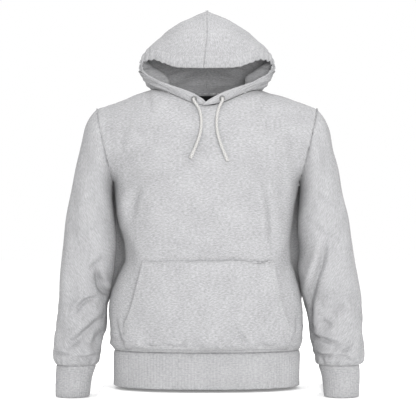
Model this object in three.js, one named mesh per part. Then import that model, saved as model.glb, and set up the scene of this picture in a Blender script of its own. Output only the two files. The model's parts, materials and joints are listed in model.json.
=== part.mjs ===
// A pullover hoodie, filled out as it hangs when worn: knitted front and back, two sleeves with
// ribbed cuffs, a ribbed hem band, a kangaroo pocket and a two-panel hood with a drawcord.
// Millimetres, +Z up. The chest faces -Y. The wearer's left is +X.
// The origin lies between the two points where a shoulder seam meets the neck.
import * as THREE from "three";

// Cloth and seams
const SEAM_GAP = 0.3; // daylight between two pieces along a seam
const CLOTH = 2.4; // brushed fleece jersey
const CASING = 4.4; // the same cloth folded double round the face edge
const CASING_WIDTH = 26;
const RIBBING = 3.0; // wall of the ribbed bands, under the ribs
const RIB_HEIGHT = 0.9;

// Heights
const SHOULDER_NECK = -4; // where a shoulder seam meets the neck
const SHOULDER_TIP = -46;
const UNDERARM = -216;

// Breadths and depths
const NECK_HALF = 128;
const TIP_HALF = 253;
const BACK_NECK_DEPTH = 75;
const SHOULDER_Y = 5; // the shoulder seam lies this far behind the origin
const ARMHOLE_DEPTH = 72; // from the middle of the armhole to its front or back
const SHOULDER_ROUND = 2.6; // exponent of the rounding over the shoulder
const ARMHOLE_BLEND = 3; // exponent with which the chest runs into the armhole
const NECK_CUT = { front: 0.2, back: 0.09 }; // share of the rounding that the neck cuts away
const NECK_DRAW = 6; // exponent with which the panel runs up to the neck seam

// Ribs, and how many points of the outer face one point of the inner face serves
const HEM_RIBS = 150;
const HEM_SHARE = 5;
const CUFF_RIBS = 44;
const CUFF_SHARE = 4;

// Counts of strips in each grid
const SHOULDER_COLUMNS = 6;
const NECK_FRONT_COLUMNS = 6; // between the casing and the shoulder seam
const NECK_BACK_COLUMNS = 6;
const ARMHOLE_ROWS = 10;
const COLUMN_SPREAD = 0.85; // exponent that spreads the columns over the shoulder

// The torso, from the hem seam up to the underarm. The half breadths are at the side seams, flare is
// how much further the back panel spreads behind them, and the depths are from the origin.
const TORSO_COLUMNS = ["level", "left", "right", "flare", "front", "back", "seam", "square"];
const TORSO = [
  [-598, 208, 209, 0, 114, 101, -8, 2.3],
  [-592, 213, 214, 0, 122, 109, -8, 2.3],
  [-576, 219, 220, 0, 128, 115, -8, 2.4],
  [-545, 220, 222, 0, 129, 117, -8, 2.4],
  [-510, 219.5, 225.5, 0, 129, 117, -8, 2.5],
  [-485, 217, 223, 0, 129, 116, -8, 2.5],
  [-460, 213, 216, 2, 129, 115, -6, 2.6],
  [-428, 203, 203, 10, 128, 114, 0, 2.8],
  [-390, 192, 188.5, 22, 127, 113, 6, 3.0],
  [-343, 191, 193, 20, 126, 113, 6, 3.0],
  [-301, 197, 204, 12, 125, 113, 4, 2.8],
  [-250, 205, 212, 5, 124, 112, 3, 2.5],
  [-216, 211, 215, 0, 123, 111, 2, 2.35],
];
const TORSO_LEVELS = [
  -598, -592, -579, -556, -524, -490, -456, -424, -391, -356, -320, -284, -248, -216,
];
const FLARE_DEPTH = 46; // the flare is widest this far behind the origin
const FLARE_SPREAD = 28.5;
const FLARE_EDGE = 2 / 3; // the flare is full outside this share of the half breadth

// Each sleeve, from the armhole to the cuff seam. Outer and inner are the two edges of a ring as
// seen from the front, reach is the distance from the centre line, and depth is the half depth.
const SLEEVE_COLUMNS = [
  "station", "outerReach", "outerHeight", "innerReach", "innerHeight", "middle", "depth",
];
const LEFT_SLEEVE = [
  [0, 253, -46, 211, -216, 3.5, 72],
  [1, 263, -60, 214.5, -227, 3, 74],
  [2, 277, -90, 214.5, -243, 1, 75],
  [3, 291, -150, 212, -270, -3, 72],
  [4, 307, -218, 208.5, -300, -7, 68],
  [5, 320, -285, 207.5, -330, -11, 64],
  [6, 334, -370, 212.5, -374, -14, 62],
  [7, 341, -408, 209, -408, -12, 64],
  [8, 348, -450, 216, -444, -6, 65],
  [9, 354, -494, 222.5, -487, 2, 65],
  [10, 357, -540, 232, -535, 4, 62],
  [11, 358, -585, 243, -583, 2, 58],
  [12, 357, -618, 249.5, -617, 0, 54],
  [13, 354, -628, 251.5, -628, 0, 51],
  [14, 350, -634, 256, -634, 0, 45],
];
const RIGHT_SLEEVE = [
  [0, 253, -46, 215, -216, 3.5, 72],
  [1, 263, -60, 218.5, -227, 3, 74],
  [2, 278, -88, 218.5, -243, 1, 75],
  [3, 293, -150, 216, -268, -3, 72],
  [4, 308, -218, 213, -295, -7, 68],
  [5, 320, -290, 211, -328, -10, 63],
  [6, 327, -350, 209.5, -368, -13, 60],
  [7, 332, -400, 210.5, -408, -12, 60],
  [8, 336, -450, 221, -446, -6, 59],
  [9, 341, -505, 229.5, -500, 2, 57],
  [10, 346, -548, 233.5, -545, 4, 56],
  [11, 352, -590, 244.5, -588, 2, 55],
  [12, 352, -617, 249.5, -617, 0, 52],
  [13, 349, -628, 251, -628, 0, 49],
  [14, 346, -634, 255, -634, 0, 44],
];
const SLEEVE_STATIONS = [
  0, 0.5, 1.2, 2, 2.7, 3.4, 4.1, 4.8, 5.5, 6.2, 6.9, 7.6, 8.3, 9, 9.7, 10.4, 11.1, 11.7, 12.3, 13, 14,
];
const SLEEVE_SIDES = 2 * ARMHOLE_ROWS;

// The deepest folds of the sleeves: a station on the sleeve, a place round it in degrees from its
// inner edge through the front, how far the fold spreads along and round, and how far it stands out.
const FOLD_COLUMNS = ["station", "around", "along", "spread", "height"];
const LEFT_SLEEVE_FOLDS = [
  [7.6, 50, 0.7, 34, 7],
  [8.9, 95, 0.45, 50, -7],
  [10.3, 60, 0.5, 40, -6],
  [11.5, 110, 0.45, 60, 4],
];
const RIGHT_SLEEVE_FOLDS = [
  [7.9, 55, 0.45, 38, -7],
  [9.4, 100, 0.5, 50, 5],
  [10.6, 90, 0.4, 60, -6],
  [11.5, 90, 0.45, 60, 4],
];
// Folds of the body that hang over the hem: a place on the front, the half spreads, the height.
const SWAG_COLUMNS = ["x", "z", "spreadX", "spreadZ", "height"];
const FRONT_SWAGS = [
  [-178, -570, 44, 24, 6],
  [2, -562, 60, 26, 5],
  [82, -556, 34, 24, -4],
  [170, -568, 50, 26, 4],
  [-175, -240, 16, 60, -6],
  [170, -255, 14, 70, -6],
];

// The cuffs, from the seam with the sleeve down.
const CUFF_COLUMNS = ["level", "outer", "inner", "depth"];
const LEFT_CUFF = [
  [-634, 350, 256, 45],
  [-662, 351, 264.5, 42],
  [-705, 350, 269.5, 40],
];
const RIGHT_CUFF = [
  [-634, 346, 255, 44],
  [-662, 347.5, 264.5, 42],
  [-705, 347.5, 270, 40],
];
// The hem band, from its seam down.
const HEM_COLUMNS = ["level", "left", "right", "front", "back", "seam"];
const HEM = [
  [-598, 208, 209, 114, 101, -8],
  [-608, 212.5, 213.5, 118.5, 105.5, -8],
  [-678, 212, 213, 118, 105, -8],
];
const HEM_SQUARE = 2.3;

// The hood, from the neck seam to the top seam. Edge is the face edge, side is the widest point and
// back is the centre seam; reach is the distance from the centre line.
const HOOD_COLUMNS = [
  "rise", "edgeReach", "edgeY", "edgeZ", "sideReach", "sideY", "sideZ", "backY", "backZ",
];
const HOOD = [
  [0.0, 0, -89, -43, 128, 5, -4, 75, -6],
  [0.06, 7, -91, -33, 137, 6, 5, 84, 7],
  [0.15, 35, -88, -14, 146, 8, 14, 94, 24],
  [0.22, 54, -83, -7, 151, 8, 22, 100, 36],
  [0.31, 79.5, -70, 1, 155, 8, 31, 106, 52],
  [0.4, 105.5, -52, 9, 157.5, 9, 40, 110, 69],
  [0.48, 129, -32, 22.5, 158, 10, 49, 112, 84],
  [0.55, 145.5, -14, 38, 156, 12, 61, 111, 98],
  [0.61, 150.5, -6, 53.5, 152, 14, 73, 108, 110],
  [0.66, 144.5, -12, 63, 145, 16, 84, 104, 120],
  [0.72, 125.5, -26, 66.5, 131, 18, 101, 98, 131],
  [0.8, 99, -42, 57.5, 104, 20, 125, 87, 146],
  [0.87, 71, -54, 47.5, 76, 20, 145, 74, 161],
  [0.93, 39.5, -60, 45, 44, 20, 164, 58, 174],
  [1.0, 0, -62, 44.5, 0, 18, 181, 40, 185],
];
const HOOD_RISES = [
  0, 0.04, 0.1, 0.17, 0.24, 0.31, 0.38, 0.45, 0.52, 0.59, 0.65, 0.72, 0.79, 0.86, 0.93, 1,
];
const NECK_FOLLOW = 0.25; // a hood row follows the neck seam's bend up to this rise
// Where a hood panel folds inwards beside the neck, with shares of its depth towards the chest
// and down.
const TUCK = {
  rise: 0.35,
  riseSpread: 0.13,
  along: 20,
  alongSpread: 34,
  depth: 36,
  forward: 0.3,
  down: 0.15,
};

// The kangaroo pocket: its top edge and the two slanted openings at its sides.
const POCKET_COLUMNS = ["level", "left", "right"];
const POCKET = [
  [-594, 185, 184],
  [-543, 186, 188],
  [-505, 172, 173],
  [-440, 158, 155],
  [-391, 150, 144],
];
const POCKET_STRIPS = 16;
const POCKET_CROWDING = 0.6; // how far the strips crowd towards the sides
const OPENING_FOOT = -543; // where the slanted openings begin
const POCKET_LEVELS = [-591, -579, -556, -540, -524, -490, -456, -424, -406, -391];
const POCKET_SEAT = 0.9; // from the front panel along the sewn edges
const POCKET_BULGE = 12; // the pocket stands off most at its middle
const POCKET_GAPE = 5; // at the middle of an opening
const POCKET_FOOT = 1.4; // over the turn of the cloth towards the hem seam
const POCKET_FOOT_SPREAD = 16;

// Small parts
const LABEL = { width: 42, top: -12, bottom: -46, thickness: 0.8, standoff: 1.3, strips: 6, rows: 4 };
const EYELET = { outer: 7, hole: 4.3, thickness: 1.8, shoulder: 1.45, standoff: 0.5, sides: 20 };
const LEFT_EYELET = { rise: 0.062, along: 27 };
const RIGHT_EYELET = { rise: 0.062, along: 22 };
const CORD_RADIUS = 3.3;
const CORD_SIDES = 8;
const CORD_STEPS = 26;
// The two free ends of the drawcord, from the eyelet down the chest, in millimetres.
const LEFT_CORD = [
  [34, -90.3, -28.1],
  [35.2, -95.6, -29.1],
  [34.4, -98.6, -33.5],
  [30.6, -98.6, -41],
  [26.6, -99.8, -50],
  [23.9, -102.8, -60],
  [22.2, -108.2, -71.5],
  [21.6, -113.2, -85],
  [22.6, -117.2, -99],
  [25, -120.2, -113],
  [29, -122.6, -127],
  [34, -124.2, -141],
  [40, -125.4, -155],
  [46, -126, -170],
];
const RIGHT_CORD = [
  [-29.2, -90.8, -29.2],
  [-30.1, -96.2, -30],
  [-28.6, -99, -34.4],
  [-23.6, -99, -42],
  [-18.4, -100.2, -50.5],
  [-15.1, -103, -60],
  [-12.9, -108.4, -72],
  [-12.5, -113, -84.5],
  [-13.4, -117, -98],
  [-16.4, -120, -112],
  [-20.6, -122.4, -125],
  [-26, -124.1, -138.5],
  [-31.6, -125.2, -151.5],
  [-37, -125.8, -163.5],
];

// Finishes
const FLEECE = { color: 0xc9c9cb, roughness: 0.95, metalness: 0 };
const RIB_KNIT = { color: 0xc3c3c5, roughness: 0.95, metalness: 0 };
const CORD_BRAID = { color: 0xd8d6d2, roughness: 0.85, metalness: 0 };
const LABEL_TAPE = { color: 0x141416, roughness: 0.8, metalness: 0 };

const { PI, cos, sin, abs, min, max, sqrt, exp, sign } = Math;
const vector = (x, y, z) => new THREE.Vector3(x, y, z);
const mix = (a, b, t) => a + (b - a) * t;
const bell = (offset, spread) => exp(-((offset / spread) ** 2));

// A smooth curve through the points (xs, ys), with no overshoot between them.
function smoothCurve(xs, ys) {
  const steps = xs.slice(1).map((x, i) => x - xs[i]);
  const rises = steps.map((step, i) => (ys[i + 1] - ys[i]) / step);
  const slopes = xs.map((_, i) => {
    if (i === 0) return rises[0];
    if (i === xs.length - 1) return rises[i - 1];
    const [before, after] = [rises[i - 1], rises[i]];
    return before * after <= 0 ? 0 : (2 * before * after) / (before + after);
  });
  return (x) => {
    let i = 0;
    while (i < steps.length - 1 && x > xs[i + 1]) i += 1;
    const t = (x - xs[i]) / steps[i];
    const [u, v] = [1 - t, t];
    return (
      ys[i] * u * u * (1 + 2 * t) +
      ys[i + 1] * v * v * (3 - 2 * t) +
      steps[i] * (slopes[i] * t * u * u - slopes[i + 1] * v * v * u)
    );
  };
}

// Reads a table whose first column is the level: the result gives every named column at a level.
function sections(columns, rows) {
  const levels = rows.map((row) => row[0]);
  const curves = columns.slice(1).map((_, c) => smoothCurve(levels, rows.map((row) => row[c + 1])));
  return (level) => Object.fromEntries(curves.map((curve, c) => [columns[c + 1], curve(level)]));
}

// Rows of a table as objects with named values.
const named = (columns, rows) =>
  rows.map((row) => Object.fromEntries(columns.map((column, i) => [column, row[i]])));

const torsoAt = sections(TORSO_COLUMNS, TORSO);
const hoodAt = sections(HOOD_COLUMNS, HOOD);
const pocketAt = sections(POCKET_COLUMNS, POCKET);

// Places along an open line of points, at distances given by a function of its length.
function walk(points) {
  const run = [0];
  points.slice(1).forEach((p, i) => run.push(run[i] + p.distanceTo(points[i])));
  const at = (distance) => {
    let i = 0;
    while (i < points.length - 2 && distance > run[i + 1]) i += 1;
    return points[i].clone().lerp(points[i + 1], (distance - run[i]) / (run[i + 1] - run[i]));
  };
  return { length: run[run.length - 1], at };
}

// One row of a hood panel, from the face edge round the side to the centre seam.
const ROW_STEPS = 48;
function hoodRow(rise) {
  const h = hoodAt(rise);
  const neck = max(0, 1 - rise / NECK_FOLLOW);
  const front = [];
  const back = [];
  for (let i = 0; i <= ROW_STEPS; i += 1) {
    const turn = (PI / 2) * (i / ROW_STEPS);
    const across = sin(turn);
    const climb = mix(across, (1 - cos(PI * across)) / 2, neck);
    front.push(
      vector(
        mix(h.edgeReach, h.sideReach, across),
        mix(h.sideY, h.edgeY, cos(turn)),
        mix(h.edgeZ, h.sideZ, climb),
      ),
    );
    back.push(
      vector(
        h.sideReach * cos(turn),
        mix(h.sideY, h.backY, sin(turn)),
        mix(h.sideZ, h.backZ, 1 - cos(turn)),
      ),
    );
  }
  return { front: walk(front), back: walk(back) };
}

// The distances along a hood row at which its points lie, with one on the shoulder line.
function hoodPoints(rise) {
  const { front, back } = hoodRow(rise);
  const rest = front.length - CASING_WIDTH;
  const points = [front.at(0)];
  const where = [-front.length];
  for (let i = 0; i <= NECK_FRONT_COLUMNS; i += 1) {
    const distance = CASING_WIDTH + (rest * i) / NECK_FRONT_COLUMNS;
    points.push(front.at(distance));
    where.push(distance - front.length);
  }
  for (let i = 1; i <= NECK_BACK_COLUMNS; i += 1) {
    const distance = (back.length * i) / NECK_BACK_COLUMNS;
    points.push(back.at(distance));
    where.push(distance);
  }
  return points.map((p, i) => tucked(p, rise, where[i]));
}

// A point of the hood, pulled in where the panel tucks beside the neck.
function tucked(point, rise, behindSide) {
  const pull =
    TUCK.depth * bell(rise - TUCK.rise, TUCK.riseSpread) * bell(behindSide - TUCK.along, TUCK.alongSpread);
  return vector(point.x - pull, point.y - pull * TUCK.forward, point.z - pull * TUCK.down);
}

const neckPoints = hoodPoints(0);
const SIDE_INDEX = NECK_FRONT_COLUMNS + 1; // the neck point that lies on the shoulder seam
const frontNeck = neckPoints.slice(0, SIDE_INDEX + 1);
const backNeck = neckPoints.slice(SIDE_INDEX);

// The upper edge of a panel above the underarm, from one shoulder tip over the neck to the other.
// Each entry has its place across the panel, from 0 at the centre to 1 at the shoulder tip.
function upperEdge(neck) {
  const entries = neck.map((p) => ({ across: p.x / TIP_HALF, x: p.x, y: p.y, z: p.z }));
  const neckAngle = Math.asin((NECK_HALF / TIP_HALF) ** (1 / COLUMN_SPREAD));
  for (let i = 1; i <= SHOULDER_COLUMNS; i += 1) {
    const across = sin(mix(neckAngle, PI / 2, i / SHOULDER_COLUMNS)) ** COLUMN_SPREAD;
    const along = (across * TIP_HALF - NECK_HALF) / (TIP_HALF - NECK_HALF);
    entries.push({
      across,
      x: across * TIP_HALF,
      y: SHOULDER_Y,
      z: mix(SHOULDER_NECK, SHOULDER_TIP, along),
    });
  }
  const mirrored = entries.slice(entries[0].across < 1e-6 ? 1 : 0).reverse();
  return [...mirrored.map((e) => ({ ...e, across: -e.across, x: -e.x })), ...entries];
}
const frontEdge = upperEdge(frontNeck);
const backEdge = upperEdge([...backNeck].reverse());

// How far a superellipse of the given squareness still stands out at a place across.
const swell = (across, square) => max(0, 1 - abs(across) ** square) ** (1 / square);

// A point of the torso below the underarm. Facing is -1 for the front panel and 1 for the back.
function lowerPoint(across, level, facing) {
  const t = torsoAt(level);
  const half = across < 0 ? t.right : t.left;
  const depth = facing < 0 ? -t.front : t.back;
  const out = swell(across, t.square);
  const y = mix(t.seam, depth, out);
  const spread = facing > 0 ? t.flare * bell(y - FLARE_DEPTH, FLARE_SPREAD) : 0;
  const outwards = sign(across) * min(1, abs(across) / FLARE_EDGE);
  return vector(across * half + outwards * spread, y, level);
}

// A point of the torso between the underarm and the shoulder, by its share of the climb.
function upperPoint(edge, climb, facing) {
  const low = torsoAt(UNDERARM);
  const half = edge.across < 0 ? low.right : low.left;
  const open = abs(edge.x) < NECK_HALF ? cos((PI / 2) * (abs(edge.x) / NECK_HALF)) ** 2 : 0;
  const highest = 1 - (facing < 0 ? NECK_CUT.front : NECK_CUT.back) * open;
  const depthAt = (share) => {
    const round = max(0, 1 - share ** SHOULDER_ROUND) ** (1 / SHOULDER_ROUND);
    const centre = mix(SHOULDER_Y, facing < 0 ? -low.front : low.back, round);
    const side = mix(low.seam, SHOULDER_Y, share);
    const armhole = ARMHOLE_DEPTH * edge.across ** 2 * sqrt(max(0, 4 * share * (1 - share)));
    const chest = abs(centre - side) * swell(edge.across, low.square);
    return side + facing * (armhole ** ARMHOLE_BLEND + chest ** ARMHOLE_BLEND) ** (1 / ARMHOLE_BLEND);
  };
  const correction = edge.y - depthAt(highest);
  return vector(
    edge.across * mix(half, TIP_HALF, climb),
    depthAt(highest * climb) + correction * climb ** NECK_DRAW,
    mix(UNDERARM, edge.z, climb),
  );
}

const CLIMBS = Array.from({ length: ARMHOLE_ROWS }, (_, k) => (1 - cos((PI * (k + 1)) / ARMHOLE_ROWS)) / 2);

// How far the swags of the front stand out at a place.
const swagHeight = (x, z) =>
  named(SWAG_COLUMNS, FRONT_SWAGS).reduce(
    (sum, s) => sum + s.height * bell(x - s.x, s.spreadX) * bell(z - s.z, s.spreadZ),
    0,
  );

// The grid of a body panel, from the hem seam up.
function bodyGrid(edge, facing) {
  const grid = [];
  for (const level of TORSO_LEVELS) grid.push(edge.map((e) => lowerPoint(e.across, level, facing)));
  for (const climb of CLIMBS) grid.push(edge.map((e) => upperPoint(e, climb, facing)));
  if (facing > 0) return grid;
  return grid.map((row, j) =>
    row.map((p, i) => {
      const free = j === 0 || i === 0 || i === row.length - 1 ? 0 : 1;
      return vector(p.x, p.y - free * swagHeight(p.x, p.z), p.z);
    }),
  );
}
const frontGrid = bodyGrid(frontEdge, -1);
const backGrid = bodyGrid(backEdge, 1);

// Unit normals of a grid, by the differences between neighbours.
function gridNormals(grid, closed, outward) {
  const rows = grid.length;
  const columns = grid[0].length;
  return grid.map((row, j) =>
    row.map((_, i) => {
      const left = closed ? (i + columns - 1) % columns : max(0, i - 1);
      const right = closed ? (i + 1) % columns : min(columns - 1, i + 1);
      const along = grid[j][right].clone().sub(grid[j][left]);
      const up = grid[min(rows - 1, j + 1)][i].clone().sub(grid[max(0, j - 1)][i]);
      return along.cross(up).multiplyScalar(outward).normalize();
    }),
  );
}

// Joins outer and inner grids of points into one closed wall.
function wallGeometry(outer, inner, closed, outward) {
  const rows = outer.length;
  const columns = outer[0].length;
  const positions = [...outer.flat(), ...inner.flat()].flatMap((p) => [p.x, p.y, p.z]);
  const index = [];
  const shift = rows * columns;
  const quad = (a, b, c, d, turned) =>
    turned ? index.push(a, c, b, a, d, c) : index.push(a, b, c, a, c, d);
  const spans = closed ? columns : columns - 1;
  const flip = outward < 0;
  for (let j = 0; j < rows - 1; j += 1) {
    for (let i = 0; i < spans; i += 1) {
      const next = (i + 1) % columns;
      const [low, high] = [j * columns, (j + 1) * columns];
      const corners = [low + i, low + next, high + next, high + i];
      quad(...corners, flip);
      quad(...corners.map((c) => c + shift), !flip);
    }
  }
  for (let i = 0; i < spans; i += 1) {
    const next = (i + 1) % columns;
    const top = (rows - 1) * columns;
    quad(i, i + shift, next + shift, next, flip);
    quad(top + i, top + next, top + next + shift, top + i + shift, flip);
  }
  if (!closed) {
    for (let j = 0; j < rows - 1; j += 1) {
      const [low, high] = [j * columns, (j + 1) * columns];
      quad(low, high, high + shift, low + shift, flip);
      const [lowEnd, highEnd] = [low + columns - 1, high + columns - 1];
      quad(lowEnd, lowEnd + shift, highEnd + shift, highEnd, flip);
    }
  }
  const geometry = new THREE.BufferGeometry();
  geometry.setAttribute("position", new THREE.Float32BufferAttribute(positions, 3));
  geometry.setIndex(index);
  geometry.computeVertexNormals();
  return geometry;
}

// A cloth wall on a grid. Inwards gives the direction of the wall's thickness at a grid point where
// a seam sets it, and thick the wall's thickness there.
function clothWall({ grid, closed = false, outward = 1, thick = () => CLOTH, inwards = () => null }) {
  const normals = gridNormals(grid, closed, outward);
  const inner = grid.map((row, j) =>
    row.map((p, i) => {
      const direction = inwards(i, j) ?? normals[j][i].clone().negate();
      return p.clone().addScaledVector(direction, thick(i, j));
    }),
  );
  return wallGeometry(grid, inner, closed, outward);
}

// Draws the edges of a grid back from a seam by half of the seam's gap.
function easeEdges(grid, { bottom, top, left, right }) {
  const rows = grid.length - 1;
  const columns = grid[0].length - 1;
  const pull = (p, towards) => towards.clone().sub(p).setLength(SEAM_GAP / 2);
  return grid.map((row, j) =>
    row.map((p, i) => {
      const eased = p.clone();
      if (bottom && j === 0) eased.add(pull(p, grid[1][i]));
      if (top && j === rows) eased.add(pull(p, grid[rows - 1][i]));
      if (left && i === 0) eased.add(pull(p, row[1]));
      if (right && i === columns) eased.add(pull(p, row[columns - 1]));
      return eased;
    }),
  );
}

// Directions of the wall's thickness at the seams
const ARMHOLE_CENTRE = vector(232, 4, -131);
const NECK_CENTRE = vector(0, -7, -15);
const NECK_FAN = 0.2; // how far the directions at the neck fan out from its centre
const HOOD_CENTRE = vector(0, 20, 70);
const SHOULDER_DOWN = vector(SHOULDER_NECK - SHOULDER_TIP, 0, NECK_HALF - TIP_HALF).normalize();
const towards = (from, to) => to.clone().sub(from).normalize();
const armholeInward = (p) =>
  towards(p, vector(sign(p.x) * ARMHOLE_CENTRE.x, ARMHOLE_CENTRE.y, ARMHOLE_CENTRE.z));
const neckInward = (p) => towards(p, vector(p.x * NECK_FAN, NECK_CENTRE.y, NECK_CENTRE.z));
const levelInward = (p, middle) => vector(middle - p.x, -p.y, 0).normalize();

function bodyPanel(grid, outward) {
  const lastRow = grid.length - 1;
  const lastColumn = grid[0].length - 1;
  const armholeStart = TORSO_LEVELS.length - 1;
  const eased = easeEdges(grid, { bottom: true, top: true, left: true, right: true });
  const inwards = (i, j) => {
    const p = grid[j][i];
    const side = i === 0 || i === lastColumn;
    if (side && j >= armholeStart) return armholeInward(p);
    if (j === 0) return levelInward(p, 0);
    if (side) return vector(-sign(p.x), 0, 0);
    if (j < lastRow) return null;
    if (abs(p.x) <= NECK_HALF + SEAM_GAP) return neckInward(p);
    return vector(-sign(p.x) * abs(SHOULDER_DOWN.x), 0, SHOULDER_DOWN.z);
  };
  return clothWall({ grid: eased, outward, inwards });
}

// A ring of a sleeve: its points start at the inner edge and go round by the front.
function sleeveRing(sleeve, folds, side, station) {
  const s = sleeve(station);
  return Array.from({ length: SLEEVE_SIDES }, (_, k) => {
    const turn = (2 * PI * k) / SLEEVE_SIDES;
    const share = (1 - cos(turn)) / 2;
    const around = (turn * 180) / PI;
    const lift = folds.reduce(
      (sum, f) => sum + f.height * bell(station - f.station, f.along) * bell(around - f.around, f.spread),
      0,
    );
    const middleReach = (s.outerReach + s.innerReach) / 2;
    const reach = mix(s.innerReach, s.outerReach, share);
    return vector(
      side * (reach + (lift * (reach - middleReach)) / s.depth),
      s.middle - (s.depth + lift) * sin(turn),
      mix(s.innerHeight, s.outerHeight, share),
    );
  });
}

// The armhole seam as both body panels draw it, in the order of a sleeve's ring.
function armholeRing(side) {
  const start = TORSO_LEVELS.length - 1;
  const column = side > 0 ? frontGrid[0].length - 1 : 0;
  const backColumn = side > 0 ? backGrid[0].length - 1 : 0;
  const front = frontGrid.slice(start).map((row) => row[column]);
  const back = backGrid.slice(start).map((row) => row[backColumn]);
  return [...front, ...back.slice(1, -1).reverse()];
}

function sleeveWall(rows, foldRows, side) {
  const sleeve = sections(SLEEVE_COLUMNS, rows);
  const folds = named(FOLD_COLUMNS, foldRows);
  const grid = SLEEVE_STATIONS.map((station) =>
    station === 0 ? armholeRing(side) : sleeveRing(sleeve, folds, side, station),
  );
  const last = grid.length - 1;
  const { outerReach, innerReach } = sleeve(SLEEVE_STATIONS[last]);
  const cuffMiddle = (side * (outerReach + innerReach)) / 2;
  const eased = easeEdges(grid, { bottom: true }).map((row, j) =>
    row.map((p) => (j === last ? vector(p.x, p.y, p.z + SEAM_GAP / 2) : p)),
  );
  const inwards = (i, j) => {
    if (j === 0) return armholeInward(grid[0][i]);
    return j === last ? levelInward(grid[j][i], cuffMiddle) : null;
  };
  return clothWall({ grid: eased, closed: true, outward: side, inwards });
}

// Points spaced evenly round a closed loop.
function resample(loop, count) {
  const path = walk([...loop, loop[0]]);
  return Array.from({ length: count }, (_, k) => path.at((path.length * k) / count));
}

// A band of ribbing: ribs stand out of its outer face, and its inner face is plain.
function ribbedBand(loops, ribs, innerEvery) {
  const count = 2 * ribs;
  const plain = loops.map((loop) => resample(loop, count));
  const outward = (row, i) => {
    const along = row[(i + 1) % count].clone().sub(row[(i + count - 1) % count]);
    return vector(along.y, -along.x, 0).normalize();
  };
  const outer = plain.map((row) =>
    row.map((p, i) => p.clone().addScaledVector(outward(row, i), i % 2 ? 0 : -RIB_HEIGHT)),
  );
  const innerRows = [plain[0], plain[plain.length - 1]].map((row) =>
    row
      .map((p, i) => p.clone().addScaledVector(outward(row, i), -RIBBING - RIB_HEIGHT))
      .filter((_, i) => i % innerEvery === 0),
  );
  const innerCount = count / innerEvery;
  const positions = [...outer.flat(), ...innerRows.flat()].flatMap((p) => [p.x, p.y, p.z]);
  const index = [];
  const shift = count * outer.length;
  for (let j = 0; j < outer.length - 1; j += 1) {
    for (let i = 0; i < count; i += 1) {
      const [a, b] = [j * count + i, j * count + ((i + 1) % count)];
      index.push(a, a + count, b, b, a + count, b + count);
    }
  }
  for (let i = 0; i < innerCount; i += 1) {
    const [a, b] = [shift + i, shift + ((i + 1) % innerCount)];
    index.push(a, b, a + innerCount, b, b + innerCount, a + innerCount);
  }
  for (const end of [0, 1]) {
    const outerStart = end * (outer.length - 1) * count;
    const innerStart = shift + end * innerCount;
    for (let i = 0; i < count; i += 1) {
      const inner = innerStart + (Math.floor(i / innerEvery) % innerCount);
      const triangle = [outerStart + i, outerStart + ((i + 1) % count), inner];
      index.push(...(end ? triangle.reverse() : triangle));
    }
    for (let i = 0; i < innerCount; i += 1) {
      const outerPoint = outerStart + (((i + 1) * innerEvery) % count);
      const triangle = [outerPoint, innerStart + ((i + 1) % innerCount), innerStart + i];
      index.push(...(end ? triangle.reverse() : triangle));
    }
  }
  const geometry = new THREE.BufferGeometry();
  geometry.setAttribute("position", new THREE.Float32BufferAttribute(positions, 3));
  geometry.setIndex(index);
  geometry.computeVertexNormals();
  return geometry;
}

const LOOP_STEPS = 240;
const loopTurns = Array.from({ length: LOOP_STEPS }, (_, k) => (2 * PI * k) / LOOP_STEPS);
const power = (value, exponent) => sign(value) * abs(value) ** exponent;

function hemLoop({ level, left, right, front, back, seam }) {
  return loopTurns.map((turn) => {
    const across = power(cos(turn), 2 / HEM_SQUARE);
    const out = power(sin(turn), 2 / HEM_SQUARE);
    const y = seam + (out < 0 ? out * (front + seam) : out * (back - seam));
    return vector(across * (across < 0 ? right : left), y, level);
  });
}

function cuffLoop({ level, outer, inner, depth }, side) {
  return loopTurns.map((turn) =>
    vector((side * (outer + inner)) / 2 + ((outer - inner) / 2) * cos(turn), depth * sin(turn), level),
  );
}

// Lowers the first loop of a band clear of the seam above it.
const belowSeam = (loops) =>
  loops.map((loop, j) => (j ? loop : loop.map((p) => vector(p.x, p.y, p.z - SEAM_GAP / 2))));

const hemBand = () => ribbedBand(belowSeam(named(HEM_COLUMNS, HEM).map(hemLoop)), HEM_RIBS, HEM_SHARE);

function cuffBand(rows, side) {
  const loops = named(CUFF_COLUMNS, rows).map((row) => cuffLoop(row, side));
  return ribbedBand(belowSeam(loops), CUFF_RIBS, CUFF_SHARE);
}

// The two grids of a hood panel: side is 1 for the wearer's left.
function hoodGrid(side) {
  return HOOD_RISES.map((rise) => hoodPoints(rise).map((p) => vector(side * p.x, p.y, p.z)));
}

function hoodPanel(side) {
  const grid = hoodGrid(side);
  const lastRow = grid.length - 1;
  const lastColumn = grid[0].length - 1;
  const offCentre = (p, i, j) => {
    const onCentre = i === lastColumn || j === lastRow;
    return onCentre || (i === 0 && j === 0) ? vector(side * max(SEAM_GAP / 2, abs(p.x)), p.y, p.z) : p;
  };
  const eased = easeEdges(grid, { bottom: true }).map((row, j) => row.map((p, i) => offCentre(p, i, j)));
  const inwards = (i, j) => {
    if (j === 0) return neckInward(grid[0][i]);
    if (i !== lastColumn && j !== lastRow) return null;
    return towards(vector(0, grid[j][i].y, grid[j][i].z), HOOD_CENTRE);
  };
  const thick = (i) => (i === 0 ? CASING : CLOTH);
  return clothWall({ grid: eased, outward: side, inwards, thick });
}

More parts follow.
